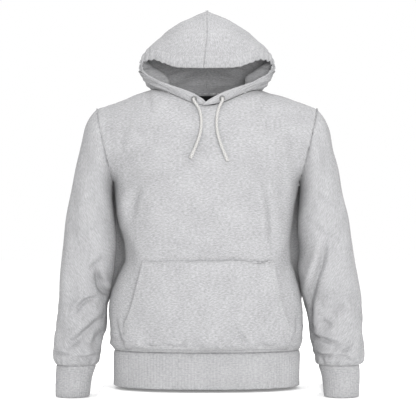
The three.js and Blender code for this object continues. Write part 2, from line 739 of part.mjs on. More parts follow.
// The front panel's outer face at a place, read from the panel's own points.
function frontSurface(x, z) {
  const rows = frontGrid;
  let j = 0;
  while (j < TORSO_LEVELS.length - 2 && z > TORSO_LEVELS[j + 1]) j += 1;
  const v = (z - TORSO_LEVELS[j]) / (TORSO_LEVELS[j + 1] - TORSO_LEVELS[j]);
  const between = rows[j].map((p, i) => p.clone().lerp(rows[j + 1][i], v));
  let i = 0;
  while (i < between.length - 2 && x > between[i + 1].x) i += 1;
  const u = (x - between[i].x) / (between[i + 1].x - between[i].x);
  return mix(between[i].y, between[i + 1].y, u);
}

function kangarooPocket() {
  const top = POCKET_LEVELS[POCKET_LEVELS.length - 1];
  const bottom = POCKET_LEVELS[0];
  const grid = POCKET_LEVELS.map((level) => {
    const edge = pocketAt(level);
    const up = (level - bottom) / (top - bottom);
    const slant = max(0, (level - OPENING_FOOT) / (top - OPENING_FOOT));
    const gape = POCKET_GAPE * sqrt(max(0, 4 * slant * (1 - slant)));
    return Array.from({ length: POCKET_STRIPS + 1 }, (_, i) => {
      const even = i / POCKET_STRIPS;
      const across = mix(even, (1 - cos(PI * even)) / 2, POCKET_CROWDING);
      const x = mix(-edge.right, edge.left, across);
      const middle = sqrt(max(0, 4 * across * (1 - across))) * sqrt(max(0, 4 * up * (1 - up)));
      const foot = POCKET_FOOT * bell(level - bottom, POCKET_FOOT_SPREAD);
      const lift = POCKET_BULGE * middle + gape * (1 - middle) + foot;
      const out = POCKET_SEAT + CLOTH + lift;
      return vector(x, frontSurface(x, level) - out, level);
    });
  });
  return clothWall({ grid });
}

function neckLabel() {
  const middle = backGrid.map((row) => row[(row.length - 1) / 2]);
  const panelY = smoothCurve(middle.map((p) => p.z), middle.map((p) => p.y));
  const grid = Array.from({ length: LABEL.rows + 1 }, (_, j) =>
    Array.from({ length: LABEL.strips + 1 }, (_, i) => {
      const x = mix(-LABEL.width / 2, LABEL.width / 2, i / LABEL.strips);
      const z = mix(LABEL.bottom, LABEL.top, j / LABEL.rows);
      const curve = BACK_NECK_DEPTH * (1 - sqrt(1 - (x / NECK_HALF) ** 2));
      return vector(x, panelY(z) - curve - CLOTH - LABEL.standoff - LABEL.thickness, z);
    }),
  );
  return clothWall({ grid, thick: () => LABEL.thickness });
}

// A place on a hood panel's outer face and the direction out of it there.
const RISE_STEP = 0.004;
const ALONG_STEP = 2;
function onHood({ rise, along }, side) {
  const at = (r, a) => {
    const p = hoodRow(r).front.at(a);
    return vector(side * p.x, p.y, p.z);
  };
  const place = at(rise, along);
  const up = at(rise + RISE_STEP, along + ALONG_STEP).sub(at(rise, along + ALONG_STEP));
  const out = at(rise, along + 2 * ALONG_STEP).sub(at(rise, along));
  const normal = out.cross(up).multiplyScalar(side).normalize();
  return { place, normal };
}

// A sewn eyelet lies on the casing, round the place where the cord comes out.
function eyelet(where, side) {
  const { place, normal } = onHood(where, side);
  const profile = [
    [EYELET.hole, 0],
    [EYELET.outer, 0],
    [EYELET.outer - EYELET.standoff, EYELET.shoulder],
    [(EYELET.hole + EYELET.outer) / 2, EYELET.thickness],
    [EYELET.hole + EYELET.standoff / 2, EYELET.shoulder],
    [EYELET.hole, 0],
  ].map(([x, y]) => new THREE.Vector2(x, y));
  const geometry = new THREE.LatheGeometry(profile, EYELET.sides);
  const mesh = new THREE.Mesh(geometry);
  mesh.quaternion.setFromUnitVectors(vector(0, 1, 0), normal);
  mesh.position.copy(place).addScaledVector(normal, EYELET.standoff);
  return mesh;
}

// A free end of the drawcord: a tube along its route.
function drawcord(route) {
  const path = new THREE.CatmullRomCurve3(route.map(([x, y, z]) => vector(x, y, z)));
  const section = new THREE.Shape(
    Array.from({ length: CORD_SIDES }, (_, k) => {
      const turn = (2 * PI * k) / CORD_SIDES;
      return new THREE.Vector2(CORD_RADIUS * cos(turn), CORD_RADIUS * sin(turn));
    }),
  );
  return new THREE.ExtrudeGeometry(section, { steps: CORD_STEPS, extrudePath: path, curveSegments: 1 });
}

const hoodie = new THREE.Group();

function add(name, shape, finish) {
  const mesh = shape.isMesh ? shape : new THREE.Mesh(shape);
  mesh.name = name;
  mesh.material = new THREE.MeshStandardMaterial(finish);
  hoodie.add(mesh);
}

add("front_body", bodyPanel(frontGrid, 1), FLEECE);
add("back_body", bodyPanel(backGrid, -1), FLEECE);
add("sleeve_left", sleeveWall(LEFT_SLEEVE, LEFT_SLEEVE_FOLDS, 1), FLEECE);
add("sleeve_right", sleeveWall(RIGHT_SLEEVE, RIGHT_SLEEVE_FOLDS, -1), FLEECE);
add("hood_left", hoodPanel(1), FLEECE);
add("hood_right", hoodPanel(-1), FLEECE);
add("kangaroo_pocket", kangarooPocket(), FLEECE);
add("hem_band", hemBand(), RIB_KNIT);
add("cuff_left", cuffBand(LEFT_CUFF, 1), RIB_KNIT);
add("cuff_right", cuffBand(RIGHT_CUFF, -1), RIB_KNIT);
add("neck_label", neckLabel(), LABEL_TAPE);
add("eyelet_left", eyelet(LEFT_EYELET, 1), CORD_BRAID);
add("eyelet_right", eyelet(RIGHT_EYELET, -1), CORD_BRAID);
add("drawcord_left", drawcord(LEFT_CORD), CORD_BRAID);
add("drawcord_right", drawcord(RIGHT_CORD), CORD_BRAID);

export default hoodie;
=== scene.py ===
"""A pullover hoodie in pale heather fleece, filled out as it hangs when worn.

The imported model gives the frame: +Z up, the chest faces -Y, the wearer's left is +X, and the
origin lies between the two points where a shoulder seam meets the neck. Forms are worked out in
millimetres and become metres when their mesh is made. Each cloth piece is a fine sewn shell that
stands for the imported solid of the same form, and the materials are built from nodes alone.
"""

from __future__ import annotations

import json
import logging
import math
from dataclasses import dataclass
from enum import Enum
from typing import Any, Callable, Sequence

import bpy
import numpy as np
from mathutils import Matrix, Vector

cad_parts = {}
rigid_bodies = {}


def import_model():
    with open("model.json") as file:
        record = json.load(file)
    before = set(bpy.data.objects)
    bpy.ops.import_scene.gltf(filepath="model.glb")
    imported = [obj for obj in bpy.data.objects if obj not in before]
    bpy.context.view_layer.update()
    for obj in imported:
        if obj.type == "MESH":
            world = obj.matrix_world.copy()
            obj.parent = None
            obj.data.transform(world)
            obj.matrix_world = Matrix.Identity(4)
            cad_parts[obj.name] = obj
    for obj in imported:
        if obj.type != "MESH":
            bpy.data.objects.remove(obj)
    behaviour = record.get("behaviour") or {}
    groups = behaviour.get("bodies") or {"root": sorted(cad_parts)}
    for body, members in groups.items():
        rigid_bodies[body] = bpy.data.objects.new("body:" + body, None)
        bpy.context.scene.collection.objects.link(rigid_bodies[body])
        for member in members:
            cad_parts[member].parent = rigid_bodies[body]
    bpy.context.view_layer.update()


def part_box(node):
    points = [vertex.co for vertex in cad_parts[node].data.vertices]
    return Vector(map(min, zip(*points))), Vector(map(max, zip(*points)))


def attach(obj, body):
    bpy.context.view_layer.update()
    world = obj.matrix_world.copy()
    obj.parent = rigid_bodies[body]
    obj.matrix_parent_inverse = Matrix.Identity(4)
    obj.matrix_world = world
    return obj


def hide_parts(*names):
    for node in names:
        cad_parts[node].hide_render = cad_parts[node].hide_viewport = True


log = logging.getLogger("hoodie")

MM = 0.001
WEAVE = "weave"  # UV map of every cloth piece, in metres along the cloth
ROOT = "root"  # the one body of a part without joints
FULL_TURN = 2 * math.pi
WALE, OUTER = "wale", "outer"  # point attributes of a ribbed band
BODY_PANELS = ("front_body", "back_body")
WALL = 2.4  # thickness of the fleece, in millimetres

STITCH_OUT = 0.2  # how far a line of stitching stands off the cloth, in millimetres
EDGE_ROW = 4.0  # distance of a single row of stitching from its seam
TWIN_ROWS = (4.5, 10.0)  # distances of the two rows beside a ribbed band and a pocket's foot

Array = np.ndarray
Path = Sequence[tuple[float, float]]
Colour = tuple[float, float, float]
Material, Mesh, Object, Tree = bpy.types.Material, bpy.types.Mesh, bpy.types.Object, bpy.types.NodeTree


class Slot(Enum):
    """The record's material slots."""

    FLEECE = "fleece"
    RIB_KNIT = "rib_knit"
    CORD_BRAID = "cord_braid"
    LABEL_TAPE = "label_tape"


class Held(Enum):
    """How a sheet of cloth is held."""

    HUNG = "hung"
    GATHERED = "gathered"
    STRETCHED = "stretched"


class Side(Enum):
    """The wearer's sides, with the sign of X on each."""

    LEFT = 1
    RIGHT = -1

    @property
    def word(self) -> str:
        """The side's name as the nodes spell it."""
        return self.name.lower()


def mix(start: Any, end: Any, share: Any) -> Any:
    """Return the value a share of the way from start to end."""
    return start + (end - start) * share


def bell(offset: Array, spread: float) -> Array:
    """Return a soft bump that is 1 where offset is 0 and fades over spread."""
    return np.exp(-((offset / spread) ** 2))


def ease(low: float, high: float, value: Array) -> Array:
    """Return 0 below low, 1 above high and a smooth rise between."""
    share = np.clip((value - low) / (high - low), 0.0, 1.0)
    return share * share * (3 - 2 * share)


def unit(vectors: Array) -> Array:
    """Return the vectors at length 1."""
    return vectors / np.maximum(np.linalg.norm(vectors, axis=-1, keepdims=True), 1e-9)


def xyz(x: Any, y: Any, z: Any) -> Array:
    """Return points from their three coordinates, which spread over one another."""
    return np.stack(np.broadcast_arrays(x, y, z), axis=-1)


def turns(count: int) -> Array:
    """Return even angles all round."""
    return np.linspace(0, FULL_TURN, count, endpoint=False)


def swing(turn: Array) -> Array:
    """Return a smooth way from 0 at no turn to 1 at half a turn."""
    return (1 - np.cos(turn)) / 2


def dome(share: Array) -> Array:
    """Return the round rise from 0 at a share of 0 to 1 in the middle, and back to 0 at 1."""
    return np.sqrt(np.maximum(0, 4 * share * (1 - share)))


def spaced(start: float, end: float, count: int) -> Array:
    """Return places from start to end that crowd towards both ends."""
    return mix(start, end, swing(np.linspace(0, math.pi, count)))


def smooth_curve(xs: Sequence[float], ys: Sequence[float]) -> Callable[[Any], Array]:
    """Return a smooth curve through points, with no overshoot between them.

    Args:
        xs: Rising places of the points.
        ys: Values there.

    Returns:
        A function of place that works on arrays.
    """
    at, value = np.asarray(xs, float), np.asarray(ys, float)
    steps = np.diff(at)
    rises = np.diff(value) / steps
    slopes = np.empty_like(value)
    slopes[0], slopes[-1] = rises[0], rises[-1]
    before, after = rises[:-1], rises[1:]
    turning = before * after <= 0
    slopes[1:-1] = np.where(turning, 0, 2 * before * after / np.where(turning, 1, before + after))

    def curve(x: Any) -> Array:
        place = np.asarray(x, float)
        i = np.clip(np.searchsorted(at, place, side="right") - 1, 0, len(steps) - 1)
        t = (place - at[i]) / steps[i]
        u = 1 - t
        ends = value[i] * u * u * (1 + 2 * t) + value[i + 1] * t * t * (3 - 2 * t)
        return ends + steps[i] * (slopes[i] * t * u * u - slopes[i + 1] * t * t * u)

    return curve


class Sections:
    """A table of section sizes, read smoothly at any level between its rows."""

    def __init__(self, columns: str, rows: Sequence[Sequence[float]]) -> None:
        """Read the table.

        Args:
            columns: Names of the columns after the first, which is the level.
            rows: The table's rows, in order of level.
        """
        levels = [row[0] for row in rows]
        self.curves = {
            name: smooth_curve(levels, [row[i + 1] for row in rows])
            for i, name in enumerate(columns.split())
        }

    def __call__(self, name: str, level: Any) -> Array:
        """Return the named size at a level."""
        return self.curves[name](level)


def through(points: Sequence[Sequence[float]], per_span: int) -> Array:
    """Return a dense smooth line through points.

    Args:
        points: The points that the line passes.
        per_span: Steps between two of them.

    Returns:
        The line's points, one row each.
    """
    p = np.asarray(points, float)
    if len(p) < 3:
        return mix(p[0], p[-1], np.linspace(0, 1, per_span + 1)[:, None])
    p = np.vstack([2 * p[0] - p[1], p, 2 * p[-1] - p[-2]])
    t = np.linspace(0, 1, per_span, endpoint=False)[:, None]
    spans = []
    for a, b, c, d in zip(p, p[1:], p[2:], p[3:]):
        turn = (2 * a - 5 * b + 4 * c - d) * t**2 + (3 * b - a - 3 * c + d) * t**3
        spans.append(0.5 * (2 * b + (c - a) * t + turn))
    return np.vstack([*spans, p[-2:-1]])


def even_line(line: Array, distances: Array) -> Array:
    """Return the points of a line at distances along it."""
    run = np.concatenate([[0], np.cumsum(np.linalg.norm(np.diff(line, axis=0), axis=1))])
    return np.stack([np.interp(distances, run, line[:, k]) for k in range(3)], axis=-1)


def line_length(line: Array) -> float:
    """Return the length of a line of points."""
    return float(np.linalg.norm(np.diff(line, axis=0), axis=1).sum())


@dataclass(frozen=True)
class Ripple:
    """Irregular soft relief of hanging cloth: a sum of waves in seeded directions."""

    wavelength: float
    height: float
    seed: int
    stretch: float = 1.0
    waves: int = 11

    def __call__(self, across: Array, along: Array) -> Array:
        """Return the relief's height at places on the cloth."""
        chance = np.random.default_rng(self.seed)
        total = np.zeros(np.broadcast(across, along).shape)
        for _ in range(self.waves):
            turn, phase = chance.uniform(0, FULL_TURN, 2)
            length = self.wavelength * chance.uniform(0.7, 1.6)
            run = across * math.cos(turn) + along / self.stretch * math.sin(turn)
            total += np.sin(FULL_TURN * run / length + phase)
        return self.height * total / math.sqrt(self.waves / 2)


@dataclass(frozen=True)
class Fold:
    """A crease in cloth: a valley along a path, and the ridge that it throws up beside it."""

    path: Path
    width: float
    depth: float
    ridge: float = 0.0
    side: int = 1  # the ridge lies to the left of the path's run, or with -1 to its right

    def __call__(self, x: Array, z: Array) -> Array:
        """Return the fold's height at places on the cloth.

        Args:
            x: First coordinates, in the path's own terms.
            z: Second coordinates.

        Returns:
            The heights, negative in the valley.
        """
        line = through(self.path, 5)
        starts, spans = line[:-1], np.diff(line, axis=0)
        lengths = np.linalg.norm(spans, axis=1)
        runs = np.concatenate([[0], np.cumsum(lengths)])
        near = np.full(x.shape, 1e9)
        signed = np.zeros(x.shape)
        share = np.zeros(x.shape)
        for start, span, length, run in zip(starts, spans, lengths, runs):
            dx, dz = x - start[0], z - start[1]
            t = np.clip((dx * span[0] + dz * span[1]) / length**2, 0, 1)
            offset = np.hypot(dx - t * span[0], dz - t * span[1])
            closer = offset < near
            left = np.sign(span[0] * dz - span[1] * dx)
            near = np.where(closer, offset, near)
            signed = np.where(closer, left * offset, signed)
            share = np.where(closer, (run + t * length) / runs[-1], share)
        fade = np.sin(math.pi * np.clip(share, 0.0, 1.0)) ** 0.8
        shift = self.side * 1.7 * self.width
        ridge = self.ridge * bell(signed - shift, 1.4 * self.width)
        return fade * (ridge - self.depth * bell(near, self.width))


def creases(*rows: tuple[float, ...]) -> tuple[Fold, ...]:
    """Return folds from rows of width, depth, ridge and side, then the path's coordinates."""
    return tuple(Fold(tuple(zip(row[4::2], row[5::2])), *row[:4]) for row in rows)


class Shell:
    """The outer face of a cloth piece: a grid of points in millimetres."""

    def __init__(self, points: Array, closed: bool, centre: Array) -> None:
        """Take the grid.

        Args:
            points: Rows by columns by 3.
            closed: Whether each row closes on itself.
            centre: A point, or a point for each row, that the face looks away from.
        """
        self.points = points
        self.closed = closed
        self.facing = 1.0
        away = points - np.asarray(centre, float)
        if np.sum(self.normals() * away) < 0:
            self.facing = -1.0

    def normals(self) -> Array:
        """Return the unit normals of the grid's points."""
        if self.closed:
            across = np.roll(self.points, -1, axis=1) - np.roll(self.points, 1, axis=1)
        else:
            across = np.gradient(self.points, axis=1)
        return unit(self.facing * np.cross(across, np.gradient(self.points, axis=0)))

    def runs(self) -> tuple[Array, Array]:
        """Return how far each point lies along its row and along its column."""
        rows, columns = self.points.shape[:2]
        across = np.zeros((rows, columns))
        across[:, 1:] = np.cumsum(np.linalg.norm(np.diff(self.points, axis=1), axis=2), axis=1)
        along = np.zeros((rows, columns))
        along[1:] = np.cumsum(np.linalg.norm(np.diff(self.points, axis=0), axis=2), axis=0)
        return across, along

    def lift(self, heights: Array) -> None:
        """Move the points out along their normals."""
        self.points = self.points + self.normals() * np.asarray(heights)[..., None]

    def at(self, row: Array, column: Array, out: float = 0.0) -> Array:
        """Return points of the face at places between its rows and columns.

        Args:
            row: Row places, with parts of a row.
            column: Column places.
            out: How far the result stands off the face.

        Returns:
            The points, one row each.
        """
        rows, columns = self.points.shape[:2]
        r0 = np.clip(np.floor(row).astype(int), 0, rows - 2)
        r = (row - r0)[:, None]
        c0 = np.floor(column).astype(int)
        if not self.closed:
            c0 = np.clip(c0, 0, columns - 2)
        c = (column - c0)[:, None]
        c0, c1 = c0 % columns, (c0 + 1) % columns
        spread = self.points + self.normals() * out
        low = mix(spread[r0, c0], spread[r0, c1], c)
        high = mix(spread[r0 + 1, c0], spread[r0 + 1, c1], c)
        return mix(low, high, r)

    def gaps(self) -> dict[str, Array]:
        """Return how far the points lie from the first row, "f", last "l", first column "a" and last "z"."""
        across, along = self.runs()
        return {"f": along, "l": along[-1:] - along, "a": across, "z": across[:, -1:] - across}

    def beside(self, edge: str, distance: float, out: float = STITCH_OUT) -> Array:
        """Return a line at a distance from one edge.

        Args:
            edge: The edge, as in gaps.
            distance: From the edge.
            out: How far the line stands off the face.

        Returns:
            The line's points.
        """
        upright = edge in "az"
        run = self.gaps()[edge] if upright else self.gaps()[edge].T
        order = np.arange(run.shape[1])
        if edge in "lz":
            run, order = run[:, ::-1], order[::-1]
        places = np.array([np.interp(distance, row, order) for row in run])
        each = np.arange(run.shape[0], dtype=float)
        return self.at(each, places, out) if upright else self.at(places, each, out)

    def roll_edges(self, edges: str, depth: float = 1.5, width: float = 2.6) -> None:
        """Turn the cloth down into its seams.

        Args:
            edges: Which edges are seams, as in gaps.
            depth: How far the face falls at a seam.
            width: How far from the seam it starts to fall.
        """
        gaps = self.gaps()
        nearest = np.min([gaps[edge] for edge in edges], axis=0)
        self.lift(-depth * bell(nearest, width))

    def cut(self) -> tuple[tuple[float, float], float]:
        """Return the size of the piece as it was cut.

        Returns:
            Its greatest width and length, and its area, in metres.
        """
        across, along = self.runs()
        p = self.points
        if self.closed:
            p = np.concatenate([p, p[:, :1]], axis=1)
        sides = np.cross(p[1:, 1:] - p[:-1, :-1], p[1:, :-1] - p[:-1, 1:])
        area = float(np.linalg.norm(sides, axis=2).sum() / 2) * MM * MM
        closing = np.linalg.norm(self.points[:, 0] - self.points[:, -1], axis=1) if self.closed else 0
        width = float(np.max(across[:, -1] + closing)) * MM
        return (width, max(float(along[-1].max()) * MM, 1.0001 * area / width)), area


@dataclass
class SewnPiece:
    name: str
    shell: Shell
    wall: float | Array
    nodes: tuple[str, ...] = ()
    slot: Slot = Slot.FLEECE
    round_first: float = 0.4  # how far the first row's edge bulges, as a share of a half circle
    round_last: float = 0.4
    held: Held = Held.HUNG
    rests_on: tuple[str, ...] = ()
    wales: int = 0  # ribs round a closed band

    ROUND_STEPS = 5

    def edge(self, start: Array, end: Array, beyond: Array, bulge: float) -> Array:
        """Return the rows that turn from one face to the other over an edge."""
        middle, half = (start + end) / 2, (start - end) / 2
        out = unit(beyond) * np.linalg.norm(half, axis=-1, keepdims=True) * bulge
        turns = np.linspace(0, math.pi, self.ROUND_STEPS + 1)[1:-1]
        return np.array([middle + half * math.cos(t) + out * math.sin(t) for t in turns])

    def build(self, material: Material) -> Object:
        """Make the piece's object.

        Args:
            material: The finish of the whole piece.

        Returns:
            The new object, linked to the scene.
        """
        shell = self.shell
        outer = shell.points
        rows, columns = outer.shape[:2]
        wall = np.broadcast_to(np.asarray(self.wall, float), (rows, columns))[..., None]
        inner = outer - shell.normals() * wall
        last = self.edge(outer[-1], inner[-1], outer[-1] - outer[-2], self.round_last)
        first = self.edge(inner[0], outer[0], outer[0] - outer[1], self.round_first)
        points = np.concatenate([outer, last, inner[::-1], first])
        across, along = shell.runs()
        middle = across[:, -1:] / 2
        u = np.pad(across - middle, ((0, 0), (0, 1)), mode="edge")
        if shell.closed:
            gap = np.linalg.norm(outer[:, 0] - outer[:, -1], axis=1)
            u[:, -1] = (across[:, -1] - middle[:, 0]) + gap
        v = np.pad(along, ((0, 0), (0, 1)), mode="edge")
        weave = np.stack([u, v], axis=-1)
        turns = self.ROUND_STEPS - 1
        weave = np.concatenate(
            [weave, np.repeat(weave[-1:], turns, 0), weave[::-1], np.repeat(weave[:1], turns, 0)]
        )
        spans = columns if shell.closed else columns - 1
        index = np.arange(points.shape[0] * columns).reshape(-1, columns)
        beside = np.roll(index, -1, axis=1)
        faces = quads(index[:, :spans], beside[:, :spans]).reshape(-1, 4)
        uvs = quads(weave[:, :-1][:, :spans], weave[:, 1:][:, :spans]).reshape(-1, 4, 2)
        if shell.facing < 0:
            faces, uvs = faces[:, ::-1], uvs[:, ::-1]
        face_list, uv_list = faces.tolist(), uvs.reshape(-1, 2).tolist()
        if not shell.closed:
            self.cap(face_list, uv_list, index, weave, rows)
        mesh = woven_mesh(self.name, points, face_list, uv_list, material)
        if self.wales:
            self.mark_wales(mesh, points.shape[0], rows, columns)
        return new_object(self.name, mesh)

    def cap(self, faces: list, uvs: list, index: Array, weave: Array, rows: int) -> None:
        """Close the two side ends of an open wall."""
        turns = self.ROUND_STEPS - 1
        for column, reverse in ((0, self.shell.facing < 0), (-1, self.shell.facing > 0)):
            outer = index[:rows, column]
            inner = index[rows + turns : 2 * rows + turns, column][::-1]
            strips = [[outer[j], outer[j + 1], inner[j + 1], inner[j]] for j in range(rows - 1)]
            strips.append([*index[rows - 1 : rows + turns + 1, column]])
            strips.append([*index[2 * rows + turns - 1 :, column], index[0, column]])
            places = weave[:, column].tolist()
            stride = index.shape[1]
            for strip in strips:
                order = strip[::-1] if reverse else strip
                faces.append([int(i) for i in order])
                uvs.extend(places[int(i) // stride] for i in order)

    def mark_wales(self, mesh: Mesh, profile: int, rows: int, columns: int) -> None:
        """Number the ribs round a band, and mark its outer face."""
        wale = np.tile(np.arange(columns) * self.wales / columns, profile)
        outer = np.zeros((profile, columns))
        outer[:rows] = 1.0
        outer[0] = 0.35
        for name, values in ((WALE, wale), (OUTER, outer.ravel())):
            mesh.attributes.new(name, "FLOAT", "POINT").data.foreach_set("value", values)

    def declare(self, piece: Object) -> None:
        """Hide the imported solids that the piece stands for, attach it to the root body and log its cut
        size and area.
        """
        if self.nodes:
            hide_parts(*self.nodes)
        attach(piece, ROOT)
        flat, area = self.shell.cut()
        list(self.rests_on)
        log.info("%s: cut %.3f x %.3f m, %.4f m2", piece.name, *flat, area)

    def make(self, material: Material) -> None:
        self.declare(self.build(material))


def quads(here: Array, beside: Array) -> Array:
    """Return each cell's four corners, from a grid and the grid beside it; the last row meets the first."""
    return np.stack([here, beside, np.roll(beside, -1, axis=0), np.roll(here, -1, axis=0)], axis=2)


def new_object(name: str, data: bpy.types.ID) -> Object:
    """Link a mesh, lamp or camera to the scene as an object at the origin."""
    made = bpy.data.objects.new(name, data)
    bpy.context.scene.collection.objects.link(made)
    return made


def woven_mesh(name: str, points: Array, faces: list, uvs: list, finish: Material) -> Mesh:
    """Return a smooth mesh that carries its places on the weave.

    Args:
        name: The mesh's name.
        points: Its points, in millimetres.
        faces: The points of each face, by number.
        uvs: Each face corner's place on the weave, in millimetres.
        finish: Its material.

    Returns:
        The mesh, in metres.
    """
    mesh = bpy.data.meshes.new(name)
    mesh.from_pydata((points.reshape(-1, 3) * MM).tolist(), [], faces)
    mesh.uv_layers.new(name=WEAVE).data.foreach_set("uv", (np.array(uvs) * MM).ravel())
    mesh.polygons.foreach_set("use_smooth", [True] * len(mesh.polygons))
    mesh.materials.append(finish)
    return mesh


class Wire:
    """A node's output that takes part in Python expressions by adding Math nodes."""

    def __init__(self, tree: Tree, socket: bpy.types.NodeSocket) -> None:
        """Wrap a socket of a tree."""
        self.tree = tree
        self.socket = socket

    def math(self, operation: str, *others: Wire | float, clamp: bool = False) -> Wire:
        """Return a Math node's result on this value and others."""
        values = dict(enumerate([self, *others]))
        return node(self.tree, "ShaderNodeMath", values, operation=operation, use_clamp=clamp)[0]

    def __add__(self, other: Wire | float) -> Wire:
        """Return the sum."""
        return self.math("ADD", other)

    def __sub__(self, other: Wire | float) -> Wire:
        """Return the difference."""
        return self.math("SUBTRACT", other)

    def __rsub__(self, other: float) -> Wire:
        """Return a number less this value."""
        return (self * -1.0) + other

    def __mul__(self, other: Wire | float) -> Wire:
        """Return the product."""
        return self.math("MULTIPLY", other)

    __radd__ = __add__
    __rmul__ = __mul__

    def sine(self) -> Wire:
        """Return the sine."""
        return self.math("SINE")

    def clamped(self) -> Wire:
        """Return the value held between 0 and 1."""
        return self.math("ADD", 0.0, clamp=True)


def node(tree: Tree, kind: str, values: dict | None = None, **settings: Any) -> list[Wire]:
    """Add a node to a tree.

    Args:
        tree: The tree.
        kind: The node's type.
        values: Values or wires by input name or number.
        settings: Its properties, set first.

    Returns:
        Its outputs as wires.
    """
    made = tree.nodes.new(kind)
    for name, value in settings.items():
        setattr(made, name, value)
    for name, value in (values or {}).items():
        if isinstance(value, Wire):
            tree.links.new(value.socket, made.inputs[name])
        else:
            made.inputs[name].default_value = value
    return [Wire(tree, output) for output in made.outputs]


@dataclass(frozen=True)
class Finish:
    """A cloth finish: its colours, its surface and the sheen of its fibres."""

    name: str
    pale: Colour = (0.375, 0.375, 0.382)
    dark: Colour = (0.195, 0.195, 0.2)
    roughness: float = 0.95
    sheen: float = 0.06
    relief: float = 0.5
    relief_depth: float = 0.0005

    def build(self) -> Material:
        """Make the material."""
        material = bpy.data.materials.new(self.name)
        material.use_nodes = True
        tree = material.node_tree
        tree.nodes.clear()
        tone, height = self.pattern(tree)
        colours = {0: tone, 6: (*self.dark, 1.0), 7: (*self.pale, 1.0)}
        colour = node(tree, "ShaderNodeMix", colours, data_type="RGBA")[2]
        values = {"Strength": self.relief, "Distance": self.relief_depth, "Height": height}
        bump = node(tree, "ShaderNodeBump", values)[0]
        values = {
            "Base Color": colour,
            "Roughness": self.roughness,
            "Specular IOR Level": 0.2,
            "Sheen Weight": self.sheen,
            "Sheen Roughness": 0.55,
            "Normal": bump,
        }
        shader = node(tree, "ShaderNodeBsdfPrincipled", values)[0]
        node(tree, "ShaderNodeOutputMaterial", {"Surface": shader})
        return material

    def weave(self, tree: Tree) -> tuple[Wire, Wire]:
        """Return the places across and along the cloth, in metres."""
        place = node(tree, "ShaderNodeUVMap", uv_map=WEAVE)[0]
        across, along, _ = node(tree, "ShaderNodeSeparateXYZ", {0: place})
        return across, along

    def noise(self, tree: Tree, x: Wire, y: Wire, detail: float = 2.0) -> Wire:
        """Return noise from 0 to 1 at a place."""
        place = node(tree, "ShaderNodeCombineXYZ", {0: x, 1: y})[0]
        values = {"Vector": place, "Scale": 1.0, "Detail": detail, "Roughness": 0.6}
        return node(tree, "ShaderNodeTexNoise", values)[0]

    def pattern(self, tree: Tree) -> tuple[Wire, Wire]:
        """Return the tone from dark to pale and the height of the surface."""
        raise NotImplementedError


@dataclass(frozen=True)
class HeatherKnit(Finish):
    """Mottled jersey: pale and grey fibres in short streaks over fine knitted loops."""

    streak_across: float = 0.0068  # length of a streak along the courses
    streak_along: float = 0.0027
    streak_contrast: float = 1.7
    fleck_contrast: float = 1.4
    cloud_contrast: float = 0.5
    wale: float = 0.00125
    course: float = 0.00105

    FLECKS = (900.0, 1900.0)  # flecks and clouds to a metre, across and along
    CLOUDS = (14.0, 18.0)

    def pattern(self, tree: Tree) -> tuple[Wire, Wire]:
        """Return the heather's tone and the knit's relief."""
        across, along = self.weave(tree)
        streaks = self.noise(tree, across * (1 / self.streak_across), along * (1 / self.streak_along))
        flecks = self.noise(tree, across * self.FLECKS[0], along * self.FLECKS[1], 1.0)
        clouds = self.noise(tree, across * self.CLOUDS[0], along * self.CLOUDS[1])
        tone = (streaks - 0.5) * self.streak_contrast + (flecks - 0.5) * self.fleck_contrast
        tone = (tone + (clouds - 0.5) * self.cloud_contrast + 0.5).clamped()
        place = (across * (1 / self.wale)).math("FRACT")
        lean = (place - 0.5).math("ABSOLUTE")
        loop = ((along * (1 / self.course) + lean) * FULL_TURN).sine()
        groove = (place * math.pi).sine()
        height = groove * (loop * 0.35 + 0.65) + flecks * 0.9 + streaks * 0.8
        return tone, height


@dataclass(frozen=True)
class Braid(Finish):
    """Round braided cord: two sets of strands that cross."""

    girth: float = 0.0207
    strands: float = 4.0
    lay: float = 0.0085

    def pattern(self, tree: Tree) -> tuple[Wire, Wire]:
        """Return the tone, darker between the strands as painted shade in the grooves, and the strands'
        relief.
        """
        across, along = self.weave(tree)
        around = across * (self.strands / self.girth)
        climb = along * (1 / self.lay)
        one = ((around + climb) * FULL_TURN).sine()
        height = one.math("MAXIMUM", ((around - climb) * FULL_TURN).sine())
        fibres = self.noise(tree, across * 1500.0, along * 900.0)
        # Darker where the strands dip: painted shade in the grooves between them, over a random fibre
        # mottle.
        tone = (height * 0.45 + (fibres - 0.5) * 1.2 + 0.4).clamped()
        return tone, height + fibres * 0.4


@dataclass(frozen=True)
class Thread(Finish):
    """Spun thread, read from its place in the object."""

    grain: float = 1400.0

    def pattern(self, tree: Tree) -> tuple[Wire, Wire]:
        """Return a fine mottle for tone and relief alike."""
        place = node(tree, "ShaderNodeTexCoord")[3]
        values = {"Vector": place, "Scale": self.grain, "Detail": 1.0}
        grain = node(tree, "ShaderNodeTexNoise", values)[0]
        return ((grain - 0.5) * 2.0 + 0.5).clamped(), grain


